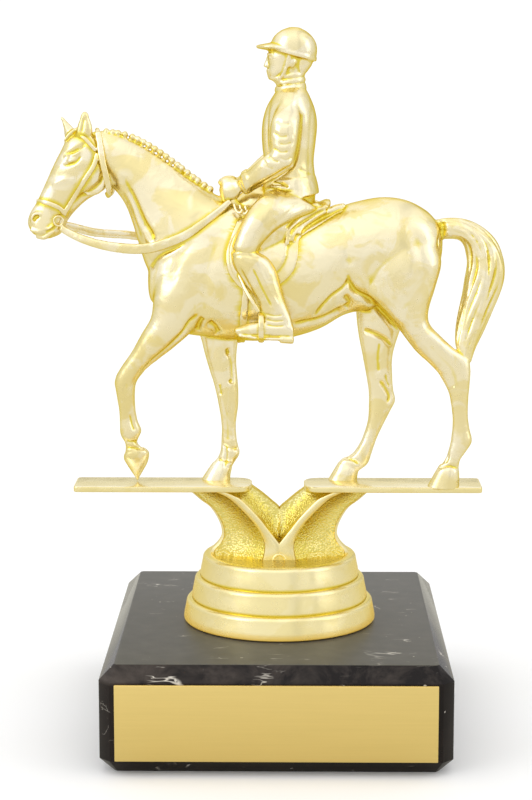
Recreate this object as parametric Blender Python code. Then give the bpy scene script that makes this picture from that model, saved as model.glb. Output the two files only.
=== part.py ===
"""Equestrian trophy: a plated horse and rider on a forked riser, on a chamfered marble block with a name plate.

Metres, +Z up. The origin is the middle of the block's underside. The horse faces -X and its left side faces -Y.
"""

import math

import bpy
import bmesh
from mathutils import Vector
from mathutils.bvhtree import BVHTree

# Marble block
BLOCK_WIDTH = 0.080
BLOCK_DEPTH = 0.095
BLOCK_HEIGHT = 0.025
TOP_CHAMFER = 0.0034
FOOT_CHAMFER = 0.0033
CORNER_CHAMFER = 0.0026

# Name plate on the block's front
NAME_PLATE_WIDTH = 0.0726
NAME_PLATE_HEIGHT = 0.0176
NAME_PLATE_THICKNESS = 0.0008
NAME_PLATE_ROUNDING = 0.00015
SEAT_GAP = 0.0003

# Stepped round foot of the casting
FOOT_FORWARD = 0.0032
FOOT_RADIUS = 0.0232
FOOT_TIERS = 3
TIER_HEIGHT = 0.0054
TIER_STEP = 0.0008
TIER_TAPER = 0.0012
TIER_ROUNDING = 0.0007
DISH_DEPTH = 0.0008
DISH_RIM = 0.0014
FOOT_SIDES = 60

# Forked riser and the two plates that the hooves stand on
RISER_HEIGHT = 0.0171
RISER_SINK = 0.0007
RISER_SPREAD = 0.0222
RISER_EDGE = 0.0030
RISER_RIDGE = 0.0112
PLATE_THICKNESS = 0.0014
PLATE_DEPTH = 0.0120
PLATE_GAP = 0.0126
PLATE_LENGTH = 0.0425
PLATE_CORNER_CUT = 0.0036
PLATE_END_CUT = 0.0008
PLATE_ROUNDING = 0.0003

# Horse and rider
FIGURE_HEIGHT = 0.1081
FUSING_SHARE = 0.0048
KEPT_SHARE = 0.046

FOOT_BASE = BLOCK_HEIGHT + SEAT_GAP
FOOT_TOP = FOOT_BASE + FOOT_TIERS * TIER_HEIGHT
PLATE_TOP = FOOT_TOP + RISER_HEIGHT
# The horse and rider are drawn on a grid of 108.1 squares from the plates' top to the helmet's top.
GRID = FIGURE_HEIGHT / 108.1
RING_POINTS = 20
STEPS_BETWEEN = 4


def at(x, height, y=0.0):
    """A point of the drawing grid, as a place in metres."""
    return Vector((x * GRID, y * GRID - FOOT_FORWARD, PLATE_TOP + height * GRID))


def between(p0, p1, p2, p3, t):
    """One value of a Catmull-Rom curve through four."""
    return 0.5 * (
        2 * p1
        + (p2 - p0) * t
        + (2 * p0 - 5 * p1 + 4 * p2 - p3) * t * t
        + (3 * p1 - p0 - 3 * p2 + p3) * t * t * t
    )


def smoothed(rows, steps=STEPS_BETWEEN):
    """Rows of numbers with further rows on a smooth curve between them."""
    made = []
    for i in range(len(rows) - 1):
        p0 = rows[max(i - 1, 0)]
        p1 = rows[i]
        p2 = rows[i + 1]
        p3 = rows[min(i + 2, len(rows) - 1)]
        for k in range(steps):
            made.append([between(*column, k / steps) for column in zip(p0, p1, p2, p3)])
    made.append(list(rows[-1]))
    return made


class Clay:
    """Closed shapes laid into one mesh, which a voxel remesh then fuses."""

    def __init__(self):
        self.mesh = bmesh.new()

    def tube(self, rings, start, end):
        """Joins rings of points into a closed skin, with a point at either end."""
        first = self.mesh.verts.new(start)
        loops = [[self.mesh.verts.new(p) for p in ring] for ring in rings]
        last = self.mesh.verts.new(end)
        count = len(rings[0])
        for i in range(count):
            j = (i + 1) % count
            self.mesh.faces.new((first, loops[0][j], loops[0][i]))
            self.mesh.faces.new((last, loops[-1][i], loops[-1][j]))
            for lower, upper in zip(loops, loops[1:]):
                self.mesh.faces.new((lower[i], lower[j], upper[j], upper[i]))

    def form(self, stations, caps=(1.0, 1.0), points=RING_POINTS, steps=STEPS_BETWEEN):
        """A limb or body. Each station has its two edges as seen from the side (x, height, x, height),
        then the middle's y, the half width, and how much wider the second edge is than the first."""
        rows = smoothed([list(s) + [0.0] * (7 - len(s)) for s in stations], steps)
        for row, inner, reach in ((rows[0], rows[1], caps[0]), (rows[-1], rows[-2], caps[1])):
            rows = self.capped(rows, row, inner, reach)
        rings = [self.ring(row, points) for row in rows]
        start = sum(rings[0], Vector()) / points
        end = sum(rings[-1], Vector()) / points
        self.tube(rings, start, end)

    def capped(self, rows, row, inner, reach):
        """The rows with a rounded end of the given reach added beyond one end."""
        middle = Vector(((row[0] + row[2]) / 2, (row[1] + row[3]) / 2, row[4]))
        before = Vector(((inner[0] + inner[2]) / 2, (inner[1] + inner[3]) / 2, inner[4]))
        way = (middle - before).normalized() * reach
        added = []
        for turn in (30, 55, 75):
            size = math.cos(math.radians(turn))
            push = way * math.sin(math.radians(turn))
            half = Vector((row[2] - row[0], row[3] - row[1])) / 2 * size
            x, height, y = middle + push
            added.append(
                [x - half.x, height - half.y, x + half.x, height + half.y, y, row[5] * size, row[6]]
            )
        return added[::-1] + rows if row is rows[0] else rows + added

    def ring(self, row, points):
        """One cross-section, an oval between the two edges."""
        xa, ha, xb, hb, y, width, egg = row
        made = []
        for i in range(points):
            turn = 2 * math.pi * i / points
            along = math.cos(turn)
            across = math.sin(turn) * (1 + egg * along)
            x = (xa + xb) / 2 + (xb - xa) / 2 * along
            height = (ha + hb) / 2 + (hb - ha) / 2 * along
            made.append(at(x, height, y + width * across))
        return made

    def strap(self, path, width, thickness, points=8, steps=4):
        """A flat band along a path of (x, height, y, how far its flat side faces up)."""
        rows = smoothed(path, steps)
        rings = []
        places = [at(r[0], r[1], r[2]) for r in rows]
        for i, row in enumerate(rows):
            way = (places[min(i + 1, len(rows) - 1)] - places[max(i - 1, 0)]).normalized()
            flat = Vector((0, 1, 0)) - way * way.y
            flat.normalize()
            tall = way.cross(flat)
            ring = []
            for k in range(points):
                turn = 2 * math.pi * k / points
                up = math.copysign(abs(math.cos(turn)) ** 0.6, math.cos(turn)) * width / 2 * GRID
                out = math.copysign(abs(math.sin(turn)) ** 0.6, math.sin(turn)) * thickness / 2 * GRID
                ring.append(places[i] + tall * up + flat * out)
            rings.append(ring)
        self.tube(rings, places[0], places[-1])

    def ball(self, x, height, y, sizes):
        """A ball with its three half sizes in grid squares."""
        made = bmesh.ops.create_uvsphere(self.mesh, u_segments=12, v_segments=8, radius=1.0)
        middle = at(x, height, y)
        for vert in made["verts"]:
            vert.co = middle + Vector([c * s * GRID for c, s in zip(vert.co, sizes)])

    def slab(self, outline, skin, proud, sink):
        """A sheet over the body: an outline of (x, height) points, lying proud of the skin below it."""
        rows = smoothed(outline + [outline[0]], 3)[:-1]
        middle = [sum(r[0] for r in rows) / len(rows), sum(r[1] for r in rows) / len(rows)]
        shares = (1.0, 0.8, 0.6, 0.4, 0.2)
        for side in (-1, 1):
            outer = []
            inner = []
            for share in shares:
                places = [[middle[k] + (r[k] - middle[k]) * share for k in (0, 1)] for r in rows]
                hits = [skin(x, h, side) for x, h in places]
                outer.append([at(x, h, y + side * proud) for (x, h), y in zip(places, hits)])
                inner.append([at(x, h, y - side * sink) for (x, h), y in zip(places, hits)])
            rings = inner[::-1] + outer
            y = skin(*middle, side)
            ends = (at(*middle, y - side * sink), at(*middle, y + side * proud))
            self.tube(rings, *ends)

    def object(self, name):
        """The shapes laid so far, as one object."""
        bmesh.ops.recalc_face_normals(self.mesh, faces=self.mesh.faces)
        mesh = bpy.data.meshes.new(name)
        self.mesh.to_mesh(mesh)
        made = bpy.data.objects.new(name, mesh)
        bpy.context.scene.collection.objects.link(made)
        return made


def horse_body(clay):
    """The barrel, neck and head."""
    clay.form(
        [
            (-29.3, 56.0, -29.8, 43.6, 0, 4.8),
            (-26.0, 61.0, -26.5, 38.8, 0, 7.0),
            (-21.5, 66.0, -22.5, 36.2, 0, 8.2, 0.08),
            (-16.0, 68.6, -16.0, 35.3, 0, 8.7, 0.2),
            (-10.0, 68.4, -10.0, 34.6, 0, 9.0, 0.2),
            (-3.0, 66.4, -4.0, 34.4, 0, 9.4, 0.12),
            (4.0, 64.6, 3.0, 35.2, 0, 9.6, 0.05),
            (11.0, 65.2, 10.0, 37.4, 0, 9.4),
            (17.0, 67.2, 16.0, 40.8, 0, 8.9),
            (24.0, 68.6, 22.0, 42.0, 0, 8.7),
            (30.0, 68.0, 28.0, 44.0, 0, 8.3),
            (35.0, 65.5, 33.0, 46.5, 0, 7.0),
            (37.8, 62.5, 36.8, 50.0, 0, 5.0),
        ],
        caps=(1.3, 1.6),
    )
    clay.form(
        [
            (-43.5, 84.0, -43.0, 74.0, 0, 2.5, 0.1),
            (-40.0, 83.9, -38.7, 70.4, 0, 2.9, 0.15),
            (-35.5, 82.4, -36.0, 66.6, 0, 3.3, 0.2),
            (-30.5, 79.8, -34.3, 62.0, 0, 3.9, 0.25),
            (-25.5, 76.4, -32.9, 57.2, 0, 4.8, 0.25),
            (-20.5, 72.8, -31.2, 52.0, 0, 6.0, 0.2),
            (-15.5, 69.6, -28.0, 46.5, 0, 7.2, 0.1),
            (-10.0, 67.5, -22.0, 44.0, 0, 7.4),
        ]
    )
    clay.form(
        [
            (-46.0, 84.4, -41.0, 80.0, 0, 2.8),
            (-49.4, 82.6, -39.9, 75.4, 0, 3.7),
            (-51.2, 79.4, -39.9, 71.8, 0, 4.1),
            (-52.9, 76.2, -42.2, 69.6, 0, 3.7),
            (-54.4, 73.0, -45.2, 67.8, 0, 3.1),
            (-55.9, 69.8, -47.8, 65.4, 0, 2.6),
            (-57.2, 67.2, -49.6, 63.2, 0, 2.4),
            (-58.7, 64.8, -50.5, 61.3, 0, 2.5),
            (-59.3, 62.4, -51.5, 59.8, 0, 2.7),
            (-58.6, 60.6, -53.6, 58.9, 0, 2.3),
        ],
        caps=(0.8, 0.7),
    )


def ears_and_eyes(clay):
    clay.form(
        [
            (-47.2, 83.2, -44.0, 83.6, -1.9, 1.0),
            (-46.8, 85.2, -43.9, 85.4, -2.0, 0.9),
            (-46.2, 87.2, -44.5, 87.3, -2.0, 0.6),
        ],
        caps=(0.3, 1.5),
        points=10,
    )
    clay.form(
        [
            (-50.2, 82.6, -47.2, 83.2, 1.9, 1.0),
            (-50.4, 84.6, -48.0, 84.6, 2.0, 0.9),
            (-50.8, 86.4, -49.7, 86.3, 2.1, 0.6),
        ],
        caps=(0.3, 1.3),
        points=10,
    )
    for side in (-1, 1):
        clay.ball(-48.7, 77.3, side * 3.6, (1.4, 0.9, 1.1))
        clay.ball(-48.4, 79.0, side * 3.3, (2.3, 0.9, 0.9))
        clay.ball(-57.2, 62.8, side * 2.2, (1.5, 0.7, 1.5))


def leg(clay, upper, lower, hoof):
    """One leg: its fleshy upper form, the bony lower form, and the hoof between coronet and sole."""
    clay.form(upper)
    clay.form(lower, caps=(0.5, 0.5), points=16)
    clay.form(hoof, caps=(0.2, 0.05), points=16, steps=3)


def legs(clay):
    leg(
        clay,
        [
            (20.5, 58.0, 37.5, 60.0, -3.4, 4.6),
            (19.0, 51.0, 38.8, 53.5, -4.3, 4.9),
            (20.0, 46.4, 37.4, 47.2, -4.6, 4.5),
            (24.3, 42.4, 35.9, 42.0, -4.6, 3.8),
            (28.6, 37.4, 36.1, 38.6, -4.5, 3.1),
            (32.6, 32.2, 38.8, 35.6, -4.4, 2.5),
            (36.4, 28.6, 42.4, 32.4, -4.4, 2.0),
            (39.4, 25.2, 45.6, 30.2, -4.4, 1.8),
            (41.0, 22.0, 45.9, 26.0, -4.4, 1.6),
        ],
        [
            (38.6, 26.0, 45.6, 30.3, -4.4, 1.7),
            (40.6, 22.4, 46.1, 27.2, -4.4, 1.7),
            (41.4, 19.0, 45.7, 21.5, -4.3, 1.5),
            (41.8, 15.5, 45.6, 16.5, -4.3, 1.35),
            (41.7, 12.6, 46.1, 13.0, -4.2, 1.4),
            (41.4, 10.0, 46.7, 10.2, -4.2, 1.6),
            (41.0, 8.2, 45.4, 7.8, -4.2, 1.5),
            (40.1, 6.4, 44.2, 5.6, -4.2, 1.45),
            (38.8, 4.6, 43.9, 3.4, -4.2, 1.8),
        ],
        [(38.5, 4.7, 43.9, 3.8, -4.2, 2.1), (37.5, 2.4, 44.0, 2.0, -4.2, 2.4), (36.4, -0.5, 43.9, -0.5, -4.2, 2.6)],
    )
    leg(
        clay,
        [
            (20.0, 50.0, 34.0, 52.0, 3.8, 4.6),
            (18.6, 43.0, 32.0, 44.0, 4.2, 4.3),
            (19.0, 37.0, 29.5, 38.0, 4.2, 3.4),
            (20.0, 31.7, 27.6, 32.0, 4.2, 2.5),
            (21.0, 26.7, 27.1, 27.0, 4.2, 2.0),
        ],
        [
            (20.4, 29.5, 27.2, 29.8, 4.2, 2.2),
            (21.6, 22.8, 27.6, 23.0, 4.2, 1.8),
            (21.7, 18.8, 28.2, 20.2, 4.2, 1.75),
            (21.5, 15.2, 27.0, 17.6, 4.2, 1.6),
            (20.6, 12.0, 25.2, 13.9, 4.2, 1.4),
            (19.6, 9.6, 23.8, 10.8, 4.2, 1.35),
            (17.8, 7.0, 22.6, 7.2, 4.2, 1.6),
            (16.2, 5.6, 21.9, 4.3, 4.2, 1.7),
            (14.9, 4.7, 19.8, 2.7, 4.2, 1.6),
        ],
        [(14.1, 4.4, 19.3, 3.1, 4.2, 2.1), (13.1, 2.2, 19.4, 1.6, 4.2, 2.4), (11.9, -0.5, 19.3, -0.5, 4.2, 2.6)],
    )
    leg(
        clay,
        [
            (-28.5, 54.0, -13.0, 56.0, -4.0, 4.3),
            (-29.6, 45.0, -15.5, 46.0, -4.6, 4.0),
            (-30.3, 40.0, -19.6, 37.8, -4.5, 3.4),
            (-32.6, 36.0, -24.0, 33.4, -4.2, 2.9),
            (-34.8, 32.0, -28.6, 29.8, -3.7, 2.4),
            (-37.0, 28.8, -32.0, 27.0, -3.3, 2.1),
            (-38.8, 26.0, -33.6, 24.8, -3.0, 2.0),
        ],
        [
            (-36.2, 29.6, -31.4, 27.6, -3.3, 2.1),
            (-39.0, 25.2, -33.7, 24.6, -2.9, 2.1),
            (-38.8, 21.8, -34.2, 21.8, -2.6, 1.9),
            (-38.2, 17.8, -34.1, 18.0, -2.2, 1.5),
            (-38.0, 14.4, -33.6, 15.0, -1.8, 1.45),
            (-37.9, 11.6, -32.7, 12.6, -1.5, 1.7),
            (-37.4, 9.6, -33.8, 10.2, -1.2, 1.5),
            (-37.0, 7.4, -33.2, 9.0, -1.0, 1.5),
        ],
        [(-37.1, 6.1, -32.0, 8.7, -0.8, 2.1), (-36.0, 3.4, -31.0, 7.4, -0.6, 2.3), (-34.1, -0.1, -31.2, 5.8, -0.5, 2.0)],
    )
    leg(
        clay,
        [
            (-24.0, 50.0, -9.0, 50.0, 4.4, 4.2),
            (-21.0, 41.0, -8.8, 41.0, 4.6, 3.8),
            (-18.6, 35.5, -9.4, 35.2, 4.4, 3.0),
            (-17.4, 30.8, -9.9, 30.5, 4.2, 2.5),
            (-16.0, 26.0, -9.8, 25.6, 4.1, 2.2),
        ],
        [
            (-16.6, 28.5, -9.8, 28.0, 4.2, 2.3),
            (-15.0, 22.6, -9.4, 22.0, 4.0, 2.1),
            (-14.2, 18.6, -9.5, 18.4, 4.0, 1.8),
            (-13.6, 14.6, -10.0, 14.4, 4.0, 1.45),
            (-13.6, 10.6, -9.8, 10.4, 4.0, 1.45),
            (-13.9, 7.4, -9.1, 7.2, 4.0, 1.7),
            (-14.9, 5.6, -10.4, 4.9, 4.0, 1.55),
            (-15.9, 4.4, -11.4, 3.0, 4.0, 1.6),
        ],
        [(-16.3, 4.2, -11.6, 3.0, 4.0, 2.1), (-17.2, 2.2, -11.6, 1.6, 4.0, 2.4), (-18.6, -0.5, -11.8, -0.5, 4.0, 2.6)],
    )


def tail(clay):
    """The tail arches from the dock and comes down on the left hock."""
    clay.form(
        [
            (36.5, 63.0, 36.5, 58.0, 0, 1.4),
            (39.5, 63.6, 39.8, 58.7, 0, 1.7),
            (44.0, 63.4, 42.6, 58.7, 0, 2.1),
            (48.2, 61.6, 43.9, 57.4, -0.1, 2.5),
            (51.6, 58.4, 44.6, 55.4, -0.2, 2.8),
            (53.4, 54.6, 44.9, 52.4, -0.4, 3.0),
            (53.7, 50.6, 44.5, 49.3, -0.7, 3.0),
            (52.8, 46.8, 43.9, 46.0, -1.0, 2.9),
            (50.9, 41.8, 43.1, 42.5, -1.5, 2.6),
            (48.9, 36.8, 42.5, 38.0, -2.2, 2.2),
            (47.2, 32.6, 42.4, 34.0, -3.0, 1.8),
            (46.2, 29.6, 43.6, 30.6, -3.8, 1.4),
        ],
        caps=(0.5, 0.5),
    )


def rider(clay):
    clay.form(
        [
            (-2.6, 65.5, 9.0, 65.5, 0, 6.6),
            (-3.0, 68.5, 9.6, 69.2, 0, 6.7),
            (-3.2, 72.0, 8.9, 73.0, 0, 6.2),
            (-3.2, 76.0, 8.4, 77.0, 0, 5.8),
            (-3.8, 81.0, 8.8, 81.0, 0, 6.4),
            (-3.8, 85.5, 9.2, 85.5, 0, 7.2),
            (-2.9, 89.3, 8.7, 89.0, 0, 7.4),
            (-1.3, 92.2, 7.4, 92.3, 0, 5.4),
            (0.0, 94.0, 6.2, 94.4, 0, 3.2),
        ],
        caps=(0.5, 0.4),
        points=24,
    )
    clay.form([(0.3, 92.5, 5.9, 93.0, 0, 2.6), (0.6, 98.5, 5.8, 99.5, 0, 2.3)], points=14)
    clay.form([(-0.5, 94.2, 6.3, 95.2, 0, 3.2), (-0.3, 95.4, 6.2, 96.3, 0, 2.9)], caps=(0.4, 0.4))
    clay.form(
        [
            (-2.2, 96.0, 3.0, 97.6, 0, 1.5),
            (-2.5, 97.2, 6.0, 99.2, 0, 2.7),
            (-2.3, 99.2, 7.6, 100.6, 0, 3.2),
            (-2.5, 101.2, 8.0, 102.0, 0, 3.5),
            (-2.1, 103.2, 8.0, 104.0, 0, 3.5),
        ],
        caps=(0.5, 0.4),
    )
    clay.form([(-3.4, 99.9, -1.2, 99.8, 0, 0.65), (-2.6, 101.8, -1.2, 101.8, 0, 0.4)], caps=(0.3, 0.3), points=10)
    clay.form(
        [
            (-1.7, 103.0, 8.6, 100.3, 0, 4.3),
            (-1.7, 104.4, 9.0, 102.4, 0, 4.5),
            (-1.0, 106.0, 8.6, 105.0, 0, 4.2),
            (0.7, 107.4, 7.0, 107.0, 0, 3.0),
        ],
        caps=(0.2, 0.9),
        points=24,
    )
    clay.form(
        [
            (-4.2, 103.7, -4.0, 103.3, 0, 1.2),
            (-3.0, 104.1, -2.9, 103.2, 0, 2.9),
            (-1.2, 104.4, -1.0, 103.0, 0, 3.9),
            (2.0, 104.0, 2.0, 102.4, 0, 4.4),
        ],
        caps=(0.3, 0.3),
        steps=5,
    )
    for side in (-1, 1):
        clay.form(
            [
                (-0.4, 91.2, 4.8, 91.0, side * 6.4, 2.4),
                (-1.7, 87.0, 4.9, 87.0, side * 8.0, 2.6),
                (-1.9, 82.5, 4.7, 83.0, side * 8.7, 2.5),
                (-1.7, 78.6, 4.4, 79.0, side * 8.9, 2.4),
                (-0.8, 76.0, 4.0, 76.2, side * 8.8, 2.2),
            ],
            points=16,
        )
        clay.form(
            [
                (-1.6, 79.4, 3.8, 75.6, side * 8.8, 2.4),
                (-4.6, 77.2, -0.2, 73.2, side * 8.0, 2.3),
                (-7.4, 74.6, -4.2, 70.9, side * 6.4, 2.0),
                (-10.2, 72.9, -8.6, 69.0, side * 4.6, 1.8),
            ],
            caps=(0.6, 0.3),
            points=16,
        )
        clay.form(
            [
                (-9.8, 72.6, -9.8, 68.4, side * 4.2, 1.6),
                (-12.4, 73.0, -12.0, 67.8, side * 3.5, 1.8),
                (-14.6, 71.9, -14.4, 67.3, side * 2.9, 1.7),
            ],
            caps=(0.5, 0.8),
            points=14,
        )
        clay.form(
            [
                (2.0, 70.5, 10.0, 65.5, side * 3.6, 3.6),
                (-2.4, 70.0, 4.8, 63.6, side * 7.6, 3.6),
                (-6.4, 66.4, 0.2, 61.2, side * 9.8, 3.3),
                (-9.0, 62.0, -3.2, 58.0, side * 10.8, 3.0),
                (-11.0, 57.2, -4.8, 55.6, side * 11.3, 2.8),
            ],
            caps=(0.5, 1.4),
        )
        clay.form(
            [
                (-11.3, 55.6, -4.4, 56.4, side * 11.3, 2.8),
                (-10.5, 52.6, -2.4, 54.6, side * 11.4, 2.8),
                (-8.5, 49.4, -0.4, 51.2, side * 11.5, 2.6),
                (-6.4, 45.8, 0.8, 47.2, side * 11.6, 2.3),
                (-4.8, 42.2, 2.0, 43.2, side * 11.7, 2.0),
                (-4.4, 39.0, 3.2, 39.8, side * 11.8, 1.9),
                (-4.4, 36.6, 3.8, 36.8, side * 11.8, 1.7),
            ],
            caps=(1.2, 0.8),
        )
        clay.form(
            [
                (3.4, 38.6, 3.5, 35.0, side * 11.8, 1.5),
                (0.5, 40.0, 0.5, 34.7, side * 11.8, 1.8),
                (-3.5, 39.6, -3.2, 35.0, side * 11.8, 1.9),
                (-7.0, 38.6, -6.8, 35.4, side * 11.8, 1.9),
                (-9.6, 37.5, -9.4, 35.9, side * 11.8, 1.5),
            ],
            caps=(0.4, 0.7),
            points=14,
        )


def saddle(clay, skin):
    clay.form(
        [
            (-9.6, 68.8, -9.0, 63.0, 0, 2.4),
            (-6.5, 71.4, -6.0, 62.0, 0, 3.4),
            (-3.0, 71.6, -2.0, 61.0, 0, 4.4),
            (2.0, 68.6, 2.0, 61.0, 0, 5.2),
            (6.0, 67.4, 6.0, 61.5, 0, 5.6),
            (10.0, 68.2, 11.2, 63.0, 0, 5.0),
            (11.6, 68.2, 12.0, 64.8, 0, 4.0),
        ],
        caps=(0.6, 0.4),
    )
    flap = [(-8.5, 61.5), (-11.4, 58.5), (-12.3, 54.5), (-12.0, 51.0), (-10.4, 48.2), (-7.6, 46.6), (-3.0, 48.6), (0.4, 52.0), (1.9, 55.5), (2.0, 59.0), (1.6, 62.0), (-3.0, 63.0)]
    pad = [(-9.5, 62.0), (-10.0, 55.0), (-8.0, 49.0), (-3.0, 47.0), (1.6, 48.6), (4.0, 52.4), (4.9, 56.0), (4.8, 60.0), (5.4, 62.5), (-2.0, 63.5)]
    clay.slab(flap, skin, 0.9, 1.2)
    clay.slab(pad, skin, 0.45, 1.2)


def plaits(clay):
    """A row of knots along the crest."""
    crest = smoothed([(-39.6, 84.2), (-36.0, 83.4), (-32.0, 81.8), (-28.0, 79.4), (-24.0, 76.5), (-20.0, 73.3), (-16.2, 70.6)], 3)
    for x, height in crest:
        clay.ball(x, height, 0, (0.75, 0.9, 0.75))


def reins(clay):
    for side in (-1, 1):
        clay.strap(
            [
                (-51.6, 61.6, side * 2.5),
                (-50.2, 60.3, side * 2.8),
                (-46.0, 58.4, side * 4.0),
                (-40.0, 57.0, side * 5.6),
                (-34.0, 56.4, side * 6.8),
                (-28.0, 57.0, side * 7.2),
                (-22.0, 59.3, side * 7.2),
                (-17.0, 62.2, side * 6.0),
                (-12.6, 66.0, side * 4.4),
                (-11.0, 68.4, side * 3.6),
            ],
            1.3,
            1.0,
        )


def skin_of(clay):
    """A function that finds where the body's side lies at a place of the drawing."""
    tree = BVHTree.FromBMesh(clay.mesh)

    def skin(x, height, side):
        start = at(x, height, side * 30)
        hit = tree.ray_cast(start, Vector((0, -side, 0)))[0]
        return (hit.y + FOOT_FORWARD) / GRID if hit else 0.0

    return skin


def horse_and_rider():
    clay = Clay()
    horse_body(clay)
    legs(clay)
    skin = skin_of(clay)
    ears_and_eyes(clay)
    tail(clay)
    saddle(clay, skin)
    rider(clay)
    plaits(clay)
    reins(clay)
    figure = clay.object("figure")
    fuse = figure.modifiers.new("fuse", "REMESH")
    fuse.mode = "VOXEL"
    fuse.voxel_size = FIGURE_HEIGHT * FUSING_SHARE
    soften = figure.modifiers.new("soften", "SMOOTH")
    soften.factor = 0.5
    soften.iterations = 4
    thin = figure.modifiers.new("thin", "DECIMATE")
    thin.ratio = KEPT_SHARE
    return figure


def riser_arm(side):
    """One arm of the fork. From its ridge in front, and its ridge behind, it falls back to its two edges."""
    spread = RISER_SPREAD
    tall = RISER_HEIGHT
    ridge = RISER_RIDGE / 2
    edge = RISER_EDGE / 2
    top = PLATE_TOP - PLATE_THICKNESS / 2
    # Each row has the outer edge, the band along the ridge, and the edge at the notch, as shares of the
    # spread and the height, with shares of the ridge's depth for the band and the notch's edge.
    rows = [
        (1.00, 0.93, 0.72, 0.60, 0.94, 1.00, 0.32, 0.97, 0.34),
        (0.86, 0.77, 0.55, 0.43, 0.83, 0.96, 0.20, 0.86, 0.34),
        (0.75, 0.66, 0.42, 0.31, 0.68, 0.93, 0.09, 0.74, 0.34),
        (0.67, 0.50, 0.31, 0.20, 0.52, 0.90, -0.01, 0.62, 0.36),
        (0.63, 0.36, 0.23, 0.12, 0.38, 0.88, -0.01, 0.47, 0.52),
        (0.63, 0.24, 0.18, 0.06, 0.25, 0.88, -0.01, 0.32, 0.70),
        (0.67, 0.14, 0.16, 0.02, 0.14, 0.90, -0.01, 0.18, 0.86),
        (0.74, 0.04, 0.17, 0.01, 0.02, 0.94, -0.01, 0.04, 0.92),
        (0.75, -0.04, 0.18, 0.01, -0.04, 0.94, -0.01, -0.04, 0.92),
    ]
    clay = bmesh.new()
    loops = []
    for xo, ho, xa, xb, hr, yr, xn, hn, yn in smoothed(rows, 2):
        section = [(xo, ho, edge), (xa, hr, ridge * yr), (xb, hr, ridge * yr), (xn, hn, ridge * yn)]
        loop = []
        for x, height, y in section + [(x, h, -y) for x, h, y in reversed(section)]:
            z = min(FOOT_TOP + height * tall, top)
            loop.append(clay.verts.new((side * x * spread, -FOOT_FORWARD - y, z)))
        loops.append(loop)
    count = len(loops[0])
    for upper, lower in zip(loops, loops[1:]):
        for i in range(count):
            j = (i + 1) % count
            clay.faces.new((upper[i], upper[j], lower[j], lower[i]))
    clay.faces.new(loops[0])
    clay.faces.new(loops[-1][::-1])
    return made_object(clay, "arm")


def plate(side):
    """A flat plate with its inner corners cut off."""
    half = PLATE_DEPTH / 2
    inner = PLATE_GAP / 2
    outer = inner + PLATE_LENGTH
    cut = PLATE_CORNER_CUT
    end = PLATE_END_CUT
    outline = [
        (inner, half - cut),
        (inner + cut, half),
        (outer - end, half),
        (outer, half - end),
        (outer, end - half),
        (outer - end, -half),
        (inner + cut, -half),
        (inner, cut - half),
    ]
    clay = bmesh.new()
    rim = [clay.verts.new((side * x, y - FOOT_FORWARD, PLATE_TOP)) for x, y in outline]
    face = clay.faces.new(rim)
    made = bmesh.ops.extrude_face_region(clay, geom=[face])
    for vert in made["geom"]:
        if isinstance(vert, bmesh.types.BMVert):
            vert.co.z -= PLATE_THICKNESS
    bmesh.ops.recalc_face_normals(clay, faces=clay.faces)
    edges = [e for e in clay.edges if abs(e.verts[0].co.z - e.verts[1].co.z) < 1e-6]
    bmesh.ops.bevel(clay, geom=edges, offset=PLATE_ROUNDING, segments=1, affect="EDGES", profile=0.5)
    return made_object(clay, "plate")


def foot():
    """The turned foot: tiers that taper, with rounded shoulders, and a shallow dish on top."""
    profile = [(0.0, FOOT_BASE)]
    for tier in range(FOOT_TIERS):
        low = FOOT_BASE + tier * TIER_HEIGHT
        wide = FOOT_RADIUS - tier * (TIER_STEP + TIER_TAPER)
        profile.append((wide, low))
        profile.append((wide - TIER_TAPER * 0.35, low + TIER_HEIGHT * 0.5))
        for turn in (0, 45, 90):
            across = TIER_ROUNDING * (1 - math.cos(math.radians(turn)))
            up = TIER_ROUNDING * (1 - math.sin(math.radians(turn)))
            profile.append((wide - TIER_TAPER - across + TIER_ROUNDING * 0.4, low + TIER_HEIGHT - up))
    lip = profile[-1][0] - DISH_RIM
    profile.append((lip, FOOT_TOP))
    profile.append((lip - DISH_DEPTH, FOOT_TOP - DISH_DEPTH))
    profile.append((0.0, FOOT_TOP - DISH_DEPTH))
    clay = bmesh.new()
    verts = [clay.verts.new((x, 0, z)) for x, z in reversed(profile)]
    for a, b in zip(verts, verts[1:]):
        clay.edges.new((a, b))
    made = made_object(clay, "foot")
    made.location = (0, -FOOT_FORWARD, 0)
    turn = made.modifiers.new("turn", "SCREW")
    turn.steps = FOOT_SIDES
    turn.render_steps = FOOT_SIDES
    turn.use_merge_vertices = True
    turn.merge_threshold = 0.00001
    return made


def made_object(clay, name):
    """A finished mesh as an object of the scene."""
    mesh = bpy.data.meshes.new(name)
    clay.to_mesh(mesh)
    clay.free()
    made = bpy.data.objects.new(name, mesh)
    bpy.context.scene.collection.objects.link(made)
    return made


def facing_out(thing):
    """The object with its faces turned outwards."""
    clay = bmesh.new()
    clay.from_mesh(thing.data)
    bmesh.ops.recalc_face_normals(clay, faces=clay.faces)
    clay.to_mesh(thing.data)
    clay.free()
    return thing


def join(body, others):
    """Unites other shapes with the body."""
    for other in others:
        other.hide_render = True
        other.display_type = "WIRE"
        union = body.modifiers.new("join " + other.name, "BOOLEAN")
        union.operation = "UNION"
        union.solver = "EXACT"
        union.object = other


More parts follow.
